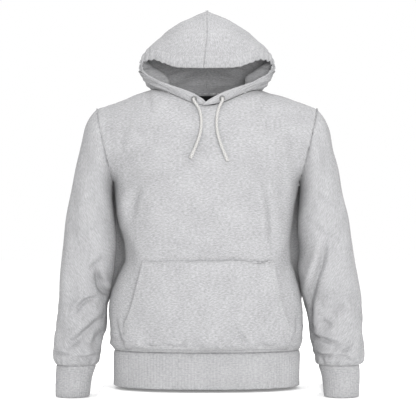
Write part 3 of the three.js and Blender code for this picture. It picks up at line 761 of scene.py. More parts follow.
class PieceTree:
    """A Geometry Nodes tree that dresses pieces. Each kind of tree says what it makes."""

    NAME = ""
    INPUTS: dict[str, str] = {}

    def __init__(self) -> None:
        """Build the tree."""
        self.tree = tree = bpy.data.node_groups.new(self.NAME, "GeometryNodeTree")
        ports = tree.interface
        for name, kind in {"Geometry": "Geometry", **self.INPUTS, "Finish": "Material"}.items():
            ports.new_socket(name, in_out="INPUT", socket_type=f"NodeSocket{kind}")
        ports.new_socket("Geometry", in_out="OUTPUT", socket_type="NodeSocketGeometry")
        start = {wire.socket.name: wire for wire in node(tree, "NodeGroupInput")}
        made = self.grow(tree, start)
        values = {"Geometry": made, "Material": start["Finish"]}
        made = node(tree, "GeometryNodeSetMaterial", values)[0]
        node(tree, "NodeGroupOutput", {0: made})

    def grow(self, tree: Tree, start: dict[str, Wire]) -> Wire:
        """Return the geometry that the tree makes of its inputs."""
        raise NotImplementedError

    def dress(self, piece: Object, inputs: dict[str, Any]) -> None:
        """Run the tree on a piece and keep the result as its plain mesh.

        Args:
            piece: The object.
            inputs: The tree's inputs by name.
        """
        modifier = piece.modifiers.new("dress", "NODES")
        modifier.node_group = self.tree
        for item in self.tree.interface.items_tree:
            if item.name in inputs and item.in_out == "INPUT":
                modifier[item.identifier] = inputs[item.name]
        evaluated = bpy.context.evaluated_depsgraph_get()
        mesh = bpy.data.meshes.new_from_object(piece.evaluated_get(evaluated))
        mesh.name = piece.name
        piece.modifiers.clear()
        before, piece.data = piece.data, mesh
        bpy.data.meshes.remove(before)


class StitchTree(PieceTree):
    """Sews stitches along lines, and realizes them as one mesh."""

    NAME = "stitch_run"
    INPUTS = {**dict.fromkeys(("Pitch", "Length", "Radius", "Crosswise"), "Float"), "Facing": "Vector"}

    def grow(self, tree: Tree, start: dict[str, Wire]) -> Wire:
        """Return the stitches."""
        curve = node(tree, "GeometryNodeMeshToCurve", {0: start["Geometry"]})[0]
        values = {"Curve": curve, "Length": start["Pitch"]}
        curve = node(tree, "GeometryNodeResampleCurve", values, mode="LENGTH")[0]
        tangent = node(tree, "GeometryNodeInputTangent")[0]
        values = {0: tangent, 1: start["Facing"]}
        across = node(tree, "ShaderNodeVectorMath", values, operation="CROSS_PRODUCT")[0]
        values = {0: start["Crosswise"], 4: tangent, 5: across}
        run = node(tree, "ShaderNodeMix", values, data_type="VECTOR")[1]
        turn = node(tree, "FunctionNodeAlignRotationToVector", {"Vector": run}, axis="X")[0]
        bead = node(tree, "GeometryNodeMeshUVSphere", {"Segments": 6, "Rings": 4, "Radius": 1.0})[0]
        sizes = {0: start["Length"] * 0.5, 1: start["Radius"], 2: start["Radius"]}
        size = node(tree, "ShaderNodeCombineXYZ", sizes)[0]
        bead = node(tree, "GeometryNodeTransform", {"Geometry": bead, "Scale": size})[0]
        values = {"Points": curve, "Instance": bead, "Rotation": turn}
        sewn = node(tree, "GeometryNodeInstanceOnPoints", values)[0]
        sewn = node(tree, "GeometryNodeRealizeInstances", {0: sewn})[0]
        return node(tree, "GeometryNodeSetShadeSmooth", {0: sewn})[0]


class RibTree(PieceTree):
    """Raises ribs on a band whose points are numbered round it."""

    NAME = "rib_band"
    INPUTS = {"Height": "Float"}

    def grow(self, tree: Tree, start: dict[str, Wire]) -> Wire:
        """Return the ribbed band."""
        wale, outer = (
            node(tree, "GeometryNodeInputNamedAttribute", {"Name": name}, data_type="FLOAT")[0]
            for name in (WALE, OUTER)
        )
        wave = (wale * FULL_TURN).math("COSINE") * 0.5 + 0.5
        rise = wave.math("POWER", 0.7) * start["Height"] * outer
        values = {0: node(tree, "GeometryNodeInputNormal")[0], "Scale": rise}
        shift = node(tree, "ShaderNodeVectorMath", values, operation="SCALE")[0]
        values = {"Geometry": start["Geometry"], "Offset": shift}
        band = node(tree, "GeometryNodeSetPosition", values)[0]
        return node(tree, "GeometryNodeRealizeInstances", {0: band})[0]


class Seamstress:
    """Collects lines of sewing and turns them into thread."""

    def __init__(self, tree: StitchTree, thread: Material) -> None:
        """Take the stitch tree and the thread's finish."""
        self.tree = tree
        self.thread = thread
        self.lines: list[Array] = []

    def add(self, *lines: Array) -> None:
        """Add lines of points, in millimetres."""
        self.lines.extend(lines)

    def sew(
        self,
        name: str,
        pitch: float,
        length: float,
        radius: float,
        crosswise: float = 0.0,
        facing: Sequence[float] = (0.0, -1.0, 0.0),
    ) -> None:
        """Sew all the lines collected so far as one piece.

        Args:
            name: The piece's name.
            pitch: From one stitch to the next.
            length: Of a stitch.
            radius: Of the thread.
            crosswise: 0 sews along the lines and 1 across them.
            facing: The direction out of the cloth, for stitches across a line.
        """
        points, edges = [], []
        for line in self.lines:
            first = len(points)
            points.extend((line * MM).tolist())
            edges.extend((i, i + 1) for i in range(first, len(points) - 1))
        self.lines = []
        mesh = bpy.data.meshes.new(name)
        mesh.from_pydata(points, edges, [])
        piece = new_object(name, mesh)
        inputs = {"Pitch": pitch * MM, "Length": length * MM, "Radius": radius * MM}
        inputs |= {"Crosswise": crosswise, "Facing": tuple(facing), "Finish": self.thread}
        self.tree.dress(piece, inputs)
        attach(piece, ROOT)
        log.info("%s: %d faces", name, len(piece.data.polygons))


@dataclass(frozen=True)
class Torso:
    """The form of the body from the hem seam to the shoulders."""

    neck_half: float = 128.0
    tip_half: float = 253.0
    neck_level: float = -4.0  # where a shoulder seam meets the neck
    tip_level: float = -46.0
    underarm: float = -216.0
    hem_seam: float = -598.0
    shoulder_y: float = 5.0
    front_neck: tuple[float, float] = (-89.0, -43.0)
    back_neck: tuple[float, float] = (75.0, -6.0)
    armhole_depth: float = 72.0
    shoulder_round: float = 2.6
    armhole_blend: float = 3.0
    neck_cut: tuple[float, float] = (0.2, 0.09)
    neck_draw: float = 6.0
    flare_depth: float = 62.0
    flare_spread: float = 25.0
    flare_edge: float = 2 / 3

    SIZES = Sections(
        "left right flare front back seam square",
        (
                (-598, 211, 212, 0, 117, 104, -8, 2.3),
                (-592, 214, 215, 0, 121.5, 108.5, -8, 2.3),
                (-576, 218.5, 219.5, 0, 127, 114, -8, 2.4),
                (-545, 220, 222, 0, 129, 117, -8, 2.4),
                (-510, 219.5, 225.5, 12, 129, 117, -8, 2.5),
                (-485, 217, 223, 22, 129, 116, -8, 2.5),
                (-460, 213, 216, 28, 129, 115, -6, 2.6),
                (-428, 203, 203, 32, 128, 114, 0, 2.8),
                (-390, 192, 188.5, 37, 127, 113, 6, 3.0),
                (-343, 191, 193, 37, 126, 113, 6, 3.0),
                (-301, 197, 204, 38, 125, 113, 4, 2.8),
                (-250, 205, 212, 38, 124, 112, 3, 2.5),
                (-228, 209.5, 214, 34, 123.5, 111.5, 2.3, 2.4),
                (-216, 211, 215, 8, 123, 111, 2, 2.35),
        ),
    )
    # Slack over the hem and at the underarms: place, level, spreads and height
    SWAGS = (
        (-178, -570, 44, 24, 6),
        (2, -562, 60, 26, 5),
        (82, -556, 34, 24, -4),
        (170, -568, 50, 26, 4),
        (-175, -240, 16, 60, -6),
        (170, -255, 14, 70, -6),
    )

    def swags(self, x: Array, z: Array) -> Array:
        """Return how far the slack of the front stands out."""
        return sum(
            height * bell(x - place, wide) * bell(z - level, high)
            for place, level, wide, high, height in self.SWAGS
        )

    def plan(self, across: Array, level: Array, facing: int) -> tuple[Array, Array, Array, Array]:
        """Return a level's half width, its side seam's and its middle's depth, and its swell.

        Args:
            across: Places from one side seam, -1, to the other, 1.
            level: Heights.
            facing: -1 for the front and 1 for the back.

        Returns:
            The four sizes. The swell is 0 at a side seam and 1 in the middle.
        """
        s = self.SIZES
        half = np.where(across < 0, s("right", level), s("left", level))
        depth = -s("front", level) if facing < 0 else s("back", level)
        square = s("square", level)
        swell = np.maximum(0, 1 - np.abs(across) ** square) ** (1 / square)
        return half, s("seam", level), depth, swell

    def lower(self, across: Array, level: Array, facing: int) -> Array:
        """Return points below the underarm, at places as plan takes them."""
        half, seam, depth, swell = self.plan(across, level, facing)
        y = mix(seam, depth, swell)
        slack = bell(y - self.flare_depth, self.flare_spread) * (facing > 0)
        spread = self.SIZES("flare", level) * slack
        outwards = np.sign(across) * np.minimum(1, np.abs(across) / self.flare_edge)
        return xyz(across * half + outwards * spread, y, level)

    def edge(self, across: Array, facing: int) -> tuple[Array, Array]:
        """Return the depth and height of a panel's upper edge, over the neck and the shoulders."""
        x = np.abs(across) * self.tip_half
        share = np.clip(x / self.neck_half, 0, 1)
        neck_y, neck_z = self.front_neck if facing < 0 else self.back_neck
        climb = swing(math.pi * share) if facing < 0 else share
        y = mix(self.shoulder_y, neck_y, np.sqrt(1 - share**2))
        z = mix(neck_z, self.neck_level, climb)
        along = np.clip((x - self.neck_half) / (self.tip_half - self.neck_half), 0, 1)
        return y, z + along * (self.tip_level - self.neck_level)

    def upper(self, across: Array, climb: Array, facing: int) -> Array:
        """Return points from the underarm up, by their share of the climb to the upper edge."""
        half, seam, middle, swell = self.plan(across, self.underarm, facing)
        edge_y, edge_z = self.edge(across, facing)
        x = np.minimum(np.abs(across) * self.tip_half, self.neck_half)
        cut = self.neck_cut[0 if facing < 0 else 1] * np.cos(math.pi / 2 * x / self.neck_half) ** 2

        def depth(share: Array) -> Array:
            over = np.maximum(0, 1 - share**self.shoulder_round) ** (1 / self.shoulder_round)
            side = mix(seam, self.shoulder_y, share)
            chest = np.abs(mix(self.shoulder_y, middle, over) - side) * swell
            sleeve = self.armhole_depth * across**2 * dome(share)
            blend = self.armhole_blend
            return side + facing * (sleeve**blend + chest**blend) ** (1 / blend)

        x = across * mix(half, self.tip_half, climb)
        y = depth((1 - cut) * climb) + (edge_y - depth(1 - cut)) * climb**self.neck_draw
        return xyz(x, y, mix(self.underarm, edge_z, climb))

    def front_depth(self, x: Array, z: Array) -> Array:
        """Return the depth of the front panel's face below the underarm."""
        across = np.clip(np.abs(x / self.plan(x, z, -1)[0]), 0, 1)
        _, seam, middle, swell = self.plan(across, z, -1)
        return mix(seam, middle, swell) - self.swags(x, z)

    def armhole(self, turn: Array, side: Side) -> Array:
        """Return the armhole seam, from the underarm round by the front."""
        half, seam, _, _ = self.plan(side.value, self.underarm, -1)
        climb = swing(turn)
        x = side.value * mix(half, self.tip_half, climb)
        y = mix(seam, self.shoulder_y, climb) - self.armhole_depth * np.sin(turn)
        return xyz(x, y, mix(self.underarm, self.tip_level, climb))


@dataclass
class Body:
    """The front and back of the hoodie, with the topstitching along their seams."""

    torso: Torso
    columns: int = 150
    lower_rows: int = 112
    upper_rows: int = 80
    creasing: float = 1.35
    blouse_level: float = -577.0

    # Relief of the hanging cloth by facing, over all of it, over the hem and along the seams
    DRAPE = {-1: Ripple(105, 0.9, 11, 1.6), 1: Ripple(120, 1.8, 12, 1.2)}
    MOTTLE = Ripple(34, 0.25, 13)
    BLOUSE = Ripple(40, 2.2, 14, 0.6)
    PUCKER = Ripple(19, 0.3, 15)
    FRONT_FOLDS = creases(
        (11, 5.0, 2.6, -1, -148, -212, -166, -256, -175, -312),
        (11, 4.8, 2.6, -1, 130, -205, 143, -283, 149, -372),
        (16, -2.6, 0, 1, 112, -220, 120, -290, 132, -375),
        (17, -2.2, 0, 1, -112, -220, -124, -290, -122, -365),
        (5.5, 5.0, 3.6, 1, -207, -520, -201, -555, -188, -577, -158, -592),
        (6.5, 3.4, 2.4, -1, 205, -508, 203, -550, 188, -582),
        (12, 2.6, 1.4, 1, -196, -330, -176, -372, -166, -420),
        (12, 2.6, 1.4, -1, 196, -340, 178, -384, 170, -430),
        (9, 1.8, 0.8, 1, -176, -75, -190, -110, -196, -160),
        (9, 1.8, 0.8, -1, 178, -78, 192, -115, 196, -165),
        (7, 1.4, 0.8, 1, -96, -26, -120, -46, -150, -58),
        (7, 1.4, 0.8, -1, 96, -26, 122, -48, 152, -60),
    )
    BACK_FOLDS = creases(
        (12, 3.0, 1.6, 1, -172, -190, -150, -240, -128, -280),
        (12, 3.0, 1.6, -1, 172, -190, 152, -244, 130, -288),
        (15, 3.0, 2.0, 1, -150, -330, -60, -372, 30, -360),
        (14, 2.8, 2.0, -1, 140, -400, 70, -436, -20, -430),
        (12, 3.2, 2.4, 1, -170, -520, -90, -556, 0, -548),
        (11, 2.8, 2.0, -1, 165, -540, 100, -566, 40, -560),
        (20, 1.5, 0, 1, -40, -60, -10, -120, -4, -190),
        (16, 1.4, 0, 1, 60, -50, 84, -110, 90, -170),
    )

    FOLDS = {-1: FRONT_FOLDS, 1: BACK_FOLDS}

    def panel(self, facing: int) -> Shell:
        """Return the front panel's shell with -1, or the back's with 1."""
        across = np.sin(np.linspace(-math.pi / 2, math.pi / 2, self.columns + 1))[None, :]
        level = np.linspace(self.torso.hem_seam, self.torso.underarm, self.lower_rows)[:, None]
        even = np.linspace(0, 1, self.upper_rows)[1:, None]
        climb = mix(even, np.sin(math.pi / 2 * even), 0.5)
        halves = [self.torso.lower(across, level, facing), self.torso.upper(across, climb, facing)]
        shell = Shell(np.concatenate(halves), False, (0, 0, -300))
        x, _, z = np.moveaxis(shell.points, -1, 0)
        run, climbed = shell.runs()
        edge = np.min(list(shell.gaps().values()), axis=0)
        free = ease(0, 16, edge)
        if facing < 0:
            shell.points[..., 1] -= self.torso.swags(x, z) * free
        heights = self.creasing * sum(fold(x, z) for fold in self.FOLDS[facing])
        heights += self.DRAPE[facing](x, z) + self.MOTTLE(x, z)
        blouse = self.BLOUSE(x, z) * bell(z - self.blouse_level, 17)
        shell.lift((heights + blouse) * free)
        shell.lift(self.PUCKER(x + run, z + climbed) * bell(edge - 5, 7))
        shell.roll_edges("flaz", 0.9, 1.6)
        return shell

    def build(self, fleece: Material, sewing: Seamstress) -> None:
        """Make both panels and mark their topstitching."""
        for facing, name, other in ((-1, *BODY_PANELS), (1, *BODY_PANELS[::-1])):
            shell = self.panel(facing)
            SewnPiece(f"cloth_{name}", shell, WALL, (name,), rests_on=(other,)).make(fleece)
            sewing.add(*(shell.beside(edge, EDGE_ROW)[self.lower_rows + 2 : -6] for edge in "az"))
            sewing.add(shell.beside("l", EDGE_ROW)[3:-3])
            sewing.add(*(shell.beside("f", d)[2:-2] for d in TWIN_ROWS))


@dataclass
class Sleeve:
    """A sleeve from the armhole to the cuff seam."""

    torso: Torso
    side: Side
    columns: int = 132
    rows: int = 230
    girth_radius: float = 62.0  # of the round that the cloth's relief is laid on
    back_drop: float = 43.0  # how much lower the back's creases lie than the front's
    gather: float = 2.0  # height of the gathers above the cuff
    creasing: float = 2.1
    ease_out: float = 1.5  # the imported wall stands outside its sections

    COLUMNS = "outer_reach outer_height inner_reach inner_height middle depth"
    LEFT = (
        (0, 253, -46, 211, -216, 3.5, 72),
        (1, 263, -60, 214.5, -227, 3, 74),
        (2, 277, -90, 214.5, -243, 1, 75),
        (3, 291, -150, 212, -270, -3, 72),
        (4, 307, -218, 208.5, -300, -7, 68),
        (5, 320, -285, 207.5, -330, -11, 64),
        (6, 334, -370, 212.5, -374, -14, 62),
        (7, 341, -408, 209, -408, -12, 64),
        (8, 348, -450, 216, -444, -6, 65),
        (9, 354, -494, 222.5, -487, 2, 65),
        (10, 357, -540, 232, -535, 4, 62),
        (11, 358, -585, 243, -583, 2, 58),
        (12, 357, -618, 249.5, -617, 0, 54),
        (13, 354, -628, 251.5, -628, 0, 51),
        (14, 350, -634, 256, -634, 0, 45),
    )
    RIGHT = (
        (0, 253, -46, 215, -216, 3.5, 72),
        (1, 263, -60, 218.5, -227, 3, 74),
        (2, 278, -88, 218.5, -243, 1, 75),
        (3, 293, -150, 216, -268, -3, 72),
        (4, 308, -218, 213, -295, -7, 68),
        (5, 320, -290, 211, -328, -10, 63),
        (6, 327, -350, 209.5, -368, -13, 60),
        (7, 332, -400, 210.5, -408, -12, 60),
        (8, 336, -450, 221, -446, -6, 59),
        (9, 341, -505, 229.5, -500, 2, 57),
        (10, 346, -548, 233.5, -545, 4, 56),
        (11, 352, -590, 244.5, -588, 2, 55),
        (12, 352, -617, 249.5, -617, 0, 52),
        (13, 349, -628, 251, -628, 0, 49),
        (14, 346, -634, 255, -634, 0, 44),
    )
    # Station, degrees round from the inner edge by the front, spread along, spread round, height
    BULGES = {
        Side.LEFT: ((7.6, 50, 0.7, 34, 7), (8.9, 95, 0.45, 50, -7), (10.3, 60, 0.5, 40, -6),
                    (11.5, 110, 0.45, 60, 4)),
        Side.RIGHT: ((7.9, 55, 0.45, 38, -7), (9.4, 100, 0.5, 50, 5), (10.6, 90, 0.4, 60, -6),
                     (11.5, 90, 0.45, 60, 4)),
    }
    FOLDS = {
        Side.RIGHT: creases(
            (7, 2.6, 2.0, -1, -232, -388, -248, -400, -266, -416),
            (7, 7.5, 3.0, 1, -250, -405, -245, -438, -236, -460, -212, -478),
            (5, 4.2, 3.4, -1, -246, -478, -268, -481, -283, -490, -303, -514),
            (8, 4.6, 3.6, -1, -228, -512, -251, -534, -267, -548, -289, -567, -320, -594),
            (8, 3.2, 2.0, 1, -226, -548, -250, -572, -262, -600),
            (4, 3.2, 2.4, 1, -352, -600, -332, -604, -308, -607),
            (4, 3.2, 2.4, 1, -300, -610, -276, -612, -252, -608),
            (13, -2.6, 0, 1, -314, -340, -322, -452, -331, -545),
            (16, 2.0, 1.4, 1, -268, -90, -262, -160, -252, -230),
            (9, 2.0, 1.4, -1, -243, -235, -262, -262, -286, -280),
            (9, 1.8, 1.4, -1, -236, -300, -262, -330, -292, -345),
        ),
        Side.LEFT: creases(
            (8, 7.5, 3.6, -1, 268, -342, 257, -400, 243, -444, 232, -498),
            (7, 5.0, 2.4, 1, 236, -480, 236, -529, 246, -578),
            (5, 4.2, 3.4, 1, 232, -563, 264, -572, 306, -586),
            (8, 2.6, 1.8, 1, 272, -511, 299, -501, 325, -514),
            (7, 3.0, 1.4, 1, 258, -530, 271, -537, 285, -540),
            (4.5, 3.2, 2.4, 1, 290, -604, 314, -596, 338, -582),
            (4, 3.4, 2.6, 1, 246, -604, 264, -609, 284, -608),
            (4, 2.8, 2.0, 1, 284, -615, 304, -609, 330, -621),
            (13, -2.2, 0, 1, 300, -300, 312, -400, 322, -480),
            (16, 2.0, 1.4, -1, 268, -90, 264, -160, 256, -235),
            (9, 2.0, 1.4, 1, 244, -236, 264, -264, 288, -284),
            (9, 1.8, 1.4, 1, 238, -306, 262, -334, 290, -350),
        ),
    }

    def ring(self, sizes: Sections, station: Array, turn: Array) -> Array:
        """Return the sleeve's points at stations, one row for each."""
        share = swing(turn)
        around = np.degrees(turn)
        lift = sum(
            h * bell(station - at, along) * bell(around - place, spread)
            for at, place, along, spread, h in self.BULGES[self.side]
        )
        inner, outer = sizes("inner_reach", station), sizes("outer_reach", station)
        reach = mix(inner, outer, share)
        depth = sizes("depth", station)
        x = self.side.value * (reach + lift * (reach - (inner + outer) / 2) / depth)
        y = sizes("middle", station) - (depth + lift) * np.sin(turn)
        return xyz(x, y, mix(sizes("inner_height", station), sizes("outer_height", station), share))

    def shell(self) -> Shell:
        """Return the sleeve's shell, from the armhole down."""
        sizes = Sections(self.COLUMNS, self.LEFT if self.side is Side.LEFT else self.RIGHT)
        turn = turns(self.columns)[None, :]
        dense = np.linspace(0, 14, 1400)[:, None]
        middle = self.ring(sizes, dense, turn).mean(axis=1)
        run = np.concatenate([[0], np.cumsum(np.linalg.norm(np.diff(middle, axis=0), axis=1))])
        station = np.interp(np.linspace(0, run[-1], self.rows), run, dense[:, 0])[:, None]
        points = self.ring(sizes, station, turn)
        seam = np.broadcast_to(self.torso.armhole(turn, self.side), points.shape)
        points = mix(seam, points, ease(0, 0.8, station)[..., None])
        shell = Shell(points, True, points.mean(axis=1, keepdims=True))
        x, _, z = np.moveaxis(points, -1, 0)
        along, to_cuff = shell.gaps()["f"], shell.gaps()["l"]
        facing = -shell.normals()[..., 1]
        front, back = ease(-0.1, 0.45, facing), ease(-0.1, 0.45, -facing)
        folds = self.FOLDS[self.side]
        heights = sum(fold(x, z) for fold in folds) * front * self.creasing
        heights += sum(fold(x * 1.02, z + self.back_drop) for fold in folds) * back
        heights += self.ease_out * ease(2, 28, along) * ease(0, 16, to_cuff)
        wave = FULL_TURN * np.arange(self.columns) / self.columns
        ring_x, ring_y = self.girth_radius * np.cos(wave), self.girth_radius * np.sin(wave)
        heights += Ripple(70, 0.9, 21 + self.side.value, 1.5)(ring_x + ring_y, z)
        heights += Ripple(30, 0.5, 31 + self.side.value)(ring_x - ring_y, z) * ease(-380, -560, z)
        gather = np.sin(13 * wave + 1.5 * np.sin(3 * wave)) + 0.6 * np.sin(21 * wave + 1)
        heights += self.gather * gather * front * bell(to_cuff - 10, 11) + 0.6 * bell(to_cuff - 15, 12)
        heights += 0.25 * np.sin(34 * wave + 2 * np.sin(5 * wave)) * bell(along - 6, 7)
        shell.lift(heights * ease(0, 10, np.minimum(along, to_cuff)))
        shell.roll_edges("fl", 0.9, 1.6)
        return shell

    def build(self, fleece: Material, sewing: Seamstress) -> None:
        """Make the sleeve and mark its stitching."""
        name = f"sleeve_{self.side.word}"
        shell = self.shell()
        SewnPiece(f"cloth_{name}", shell, WALL, (name,), rests_on=BODY_PANELS).make(fleece)
        for distance in TWIN_ROWS:
            line = shell.beside("l", distance)
            sewing.add(np.vstack([line, line[:1]]))


@dataclass
class RibBand:
    """A closed band of ribbing, from its seam down."""

    name: str
    loops: tuple[Array, ...]
    levels: tuple[float, ...]
    ribs: int
    rib_height: float = 0.9
    wall: float = 3.0
    steps_per_rib: int = 6
    rows: int = 26
    rests_on: tuple[str, ...] = ()
    slack: float = 0.5

    def shell(self) -> Shell:
        """Return the band's shell, at the foot of its ribs."""
        count = self.ribs * self.steps_per_rib
        rounds = []
        for loop in self.loops:
            line = np.vstack([loop, loop[:1]])
            rounds.append(even_line(line, np.linspace(0, line_length(line), count, endpoint=False)))
        stack = np.array(rounds)
        height = np.linspace(self.levels[0], self.levels[-1], self.rows)
        places = -np.array(self.levels)
        curves = [smooth_curve(places, stack[:, i, k]) for i in range(count) for k in (0, 1)]
        flat = np.array([curve(-height) for curve in curves]).reshape(count, 2, self.rows)
        x, y = np.moveaxis(flat, 1, 0)
        points = xyz(x.T, y.T, height[:, None])
        shell = Shell(points, True, points.mean(axis=1, keepdims=True))
        along = shell.runs()[1]
        soft = Ripple(60, self.slack, self.ribs, 2.0)(points[..., 0] + points[..., 1], points[..., 2])
        shell.lift(soft * ease(0, 14, along) - 0.6 * self.rib_height)
        shell.roll_edges("f", 0.6, 1.6)
        return shell

    def build(self, knit: Material, ribs: RibTree) -> None:
        """Make the band and raise its ribs."""
        piece = SewnPiece(
            f"cloth_{self.name}", self.shell(), self.wall, (self.name,), Slot.RIB_KNIT, round_last=1.0,
            held=Held.STRETCHED, rests_on=self.rests_on, wales=self.ribs,
        )
        band = piece.build(knit)
        ribs.dress(band, {"Height": self.rib_height * MM, "Finish": knit})
        piece.declare(band)


def hem_loop(grow: float) -> Array:
    """Return the hem's outline in plan, at height 0, grown outwards."""
    left, right, front, back, seam, square = 211 + grow, 212 + grow, 117 + grow, 104 + grow, -8, 2.3
    turn = turns(480)
    across, out = (np.sign(wave) * np.abs(wave) ** (2 / square) for wave in (np.cos(turn), np.sin(turn)))
    y = seam + np.where(out < 0, out * (front + seam), out * (back - seam))
    return xyz(across * np.where(across < 0, right, left), y, 0.0)


def hem_band() -> RibBand:
    """Return the ribbed band round the hips."""
    loops = tuple(hem_loop(grow) for grow in (0, 1.5, 1))
    return RibBand("hem_band", loops, (-598.0, -608.0, -678.0), 150, rests_on=BODY_PANELS)


def cuff(side: Side) -> RibBand:
    """Return the ribbed cuff of a sleeve."""
    rows = {
        Side.LEFT: ((-634, 350, 256, 45), (-662, 351, 264.5, 42), (-705, 350, 269.5, 40)),
        Side.RIGHT: ((-634, 346, 255, 44), (-662, 347.5, 264.5, 42), (-705, 347.5, 270, 40)),
    }[side]
    turn = turns(240)
    loops = tuple(
        xyz(side.value * (outer + inner) / 2 + (outer - inner) / 2 * np.cos(turn), depth * np.sin(turn), 0.0)
        for _, outer, inner, depth in rows
    )
    levels = tuple(float(row[0]) for row in rows)
    rests_on = (f"sleeve_{side.word}",)
    return RibBand(f"cuff_{side.word}", loops, levels, 44, rows=24, rests_on=rests_on, slack=0.35)


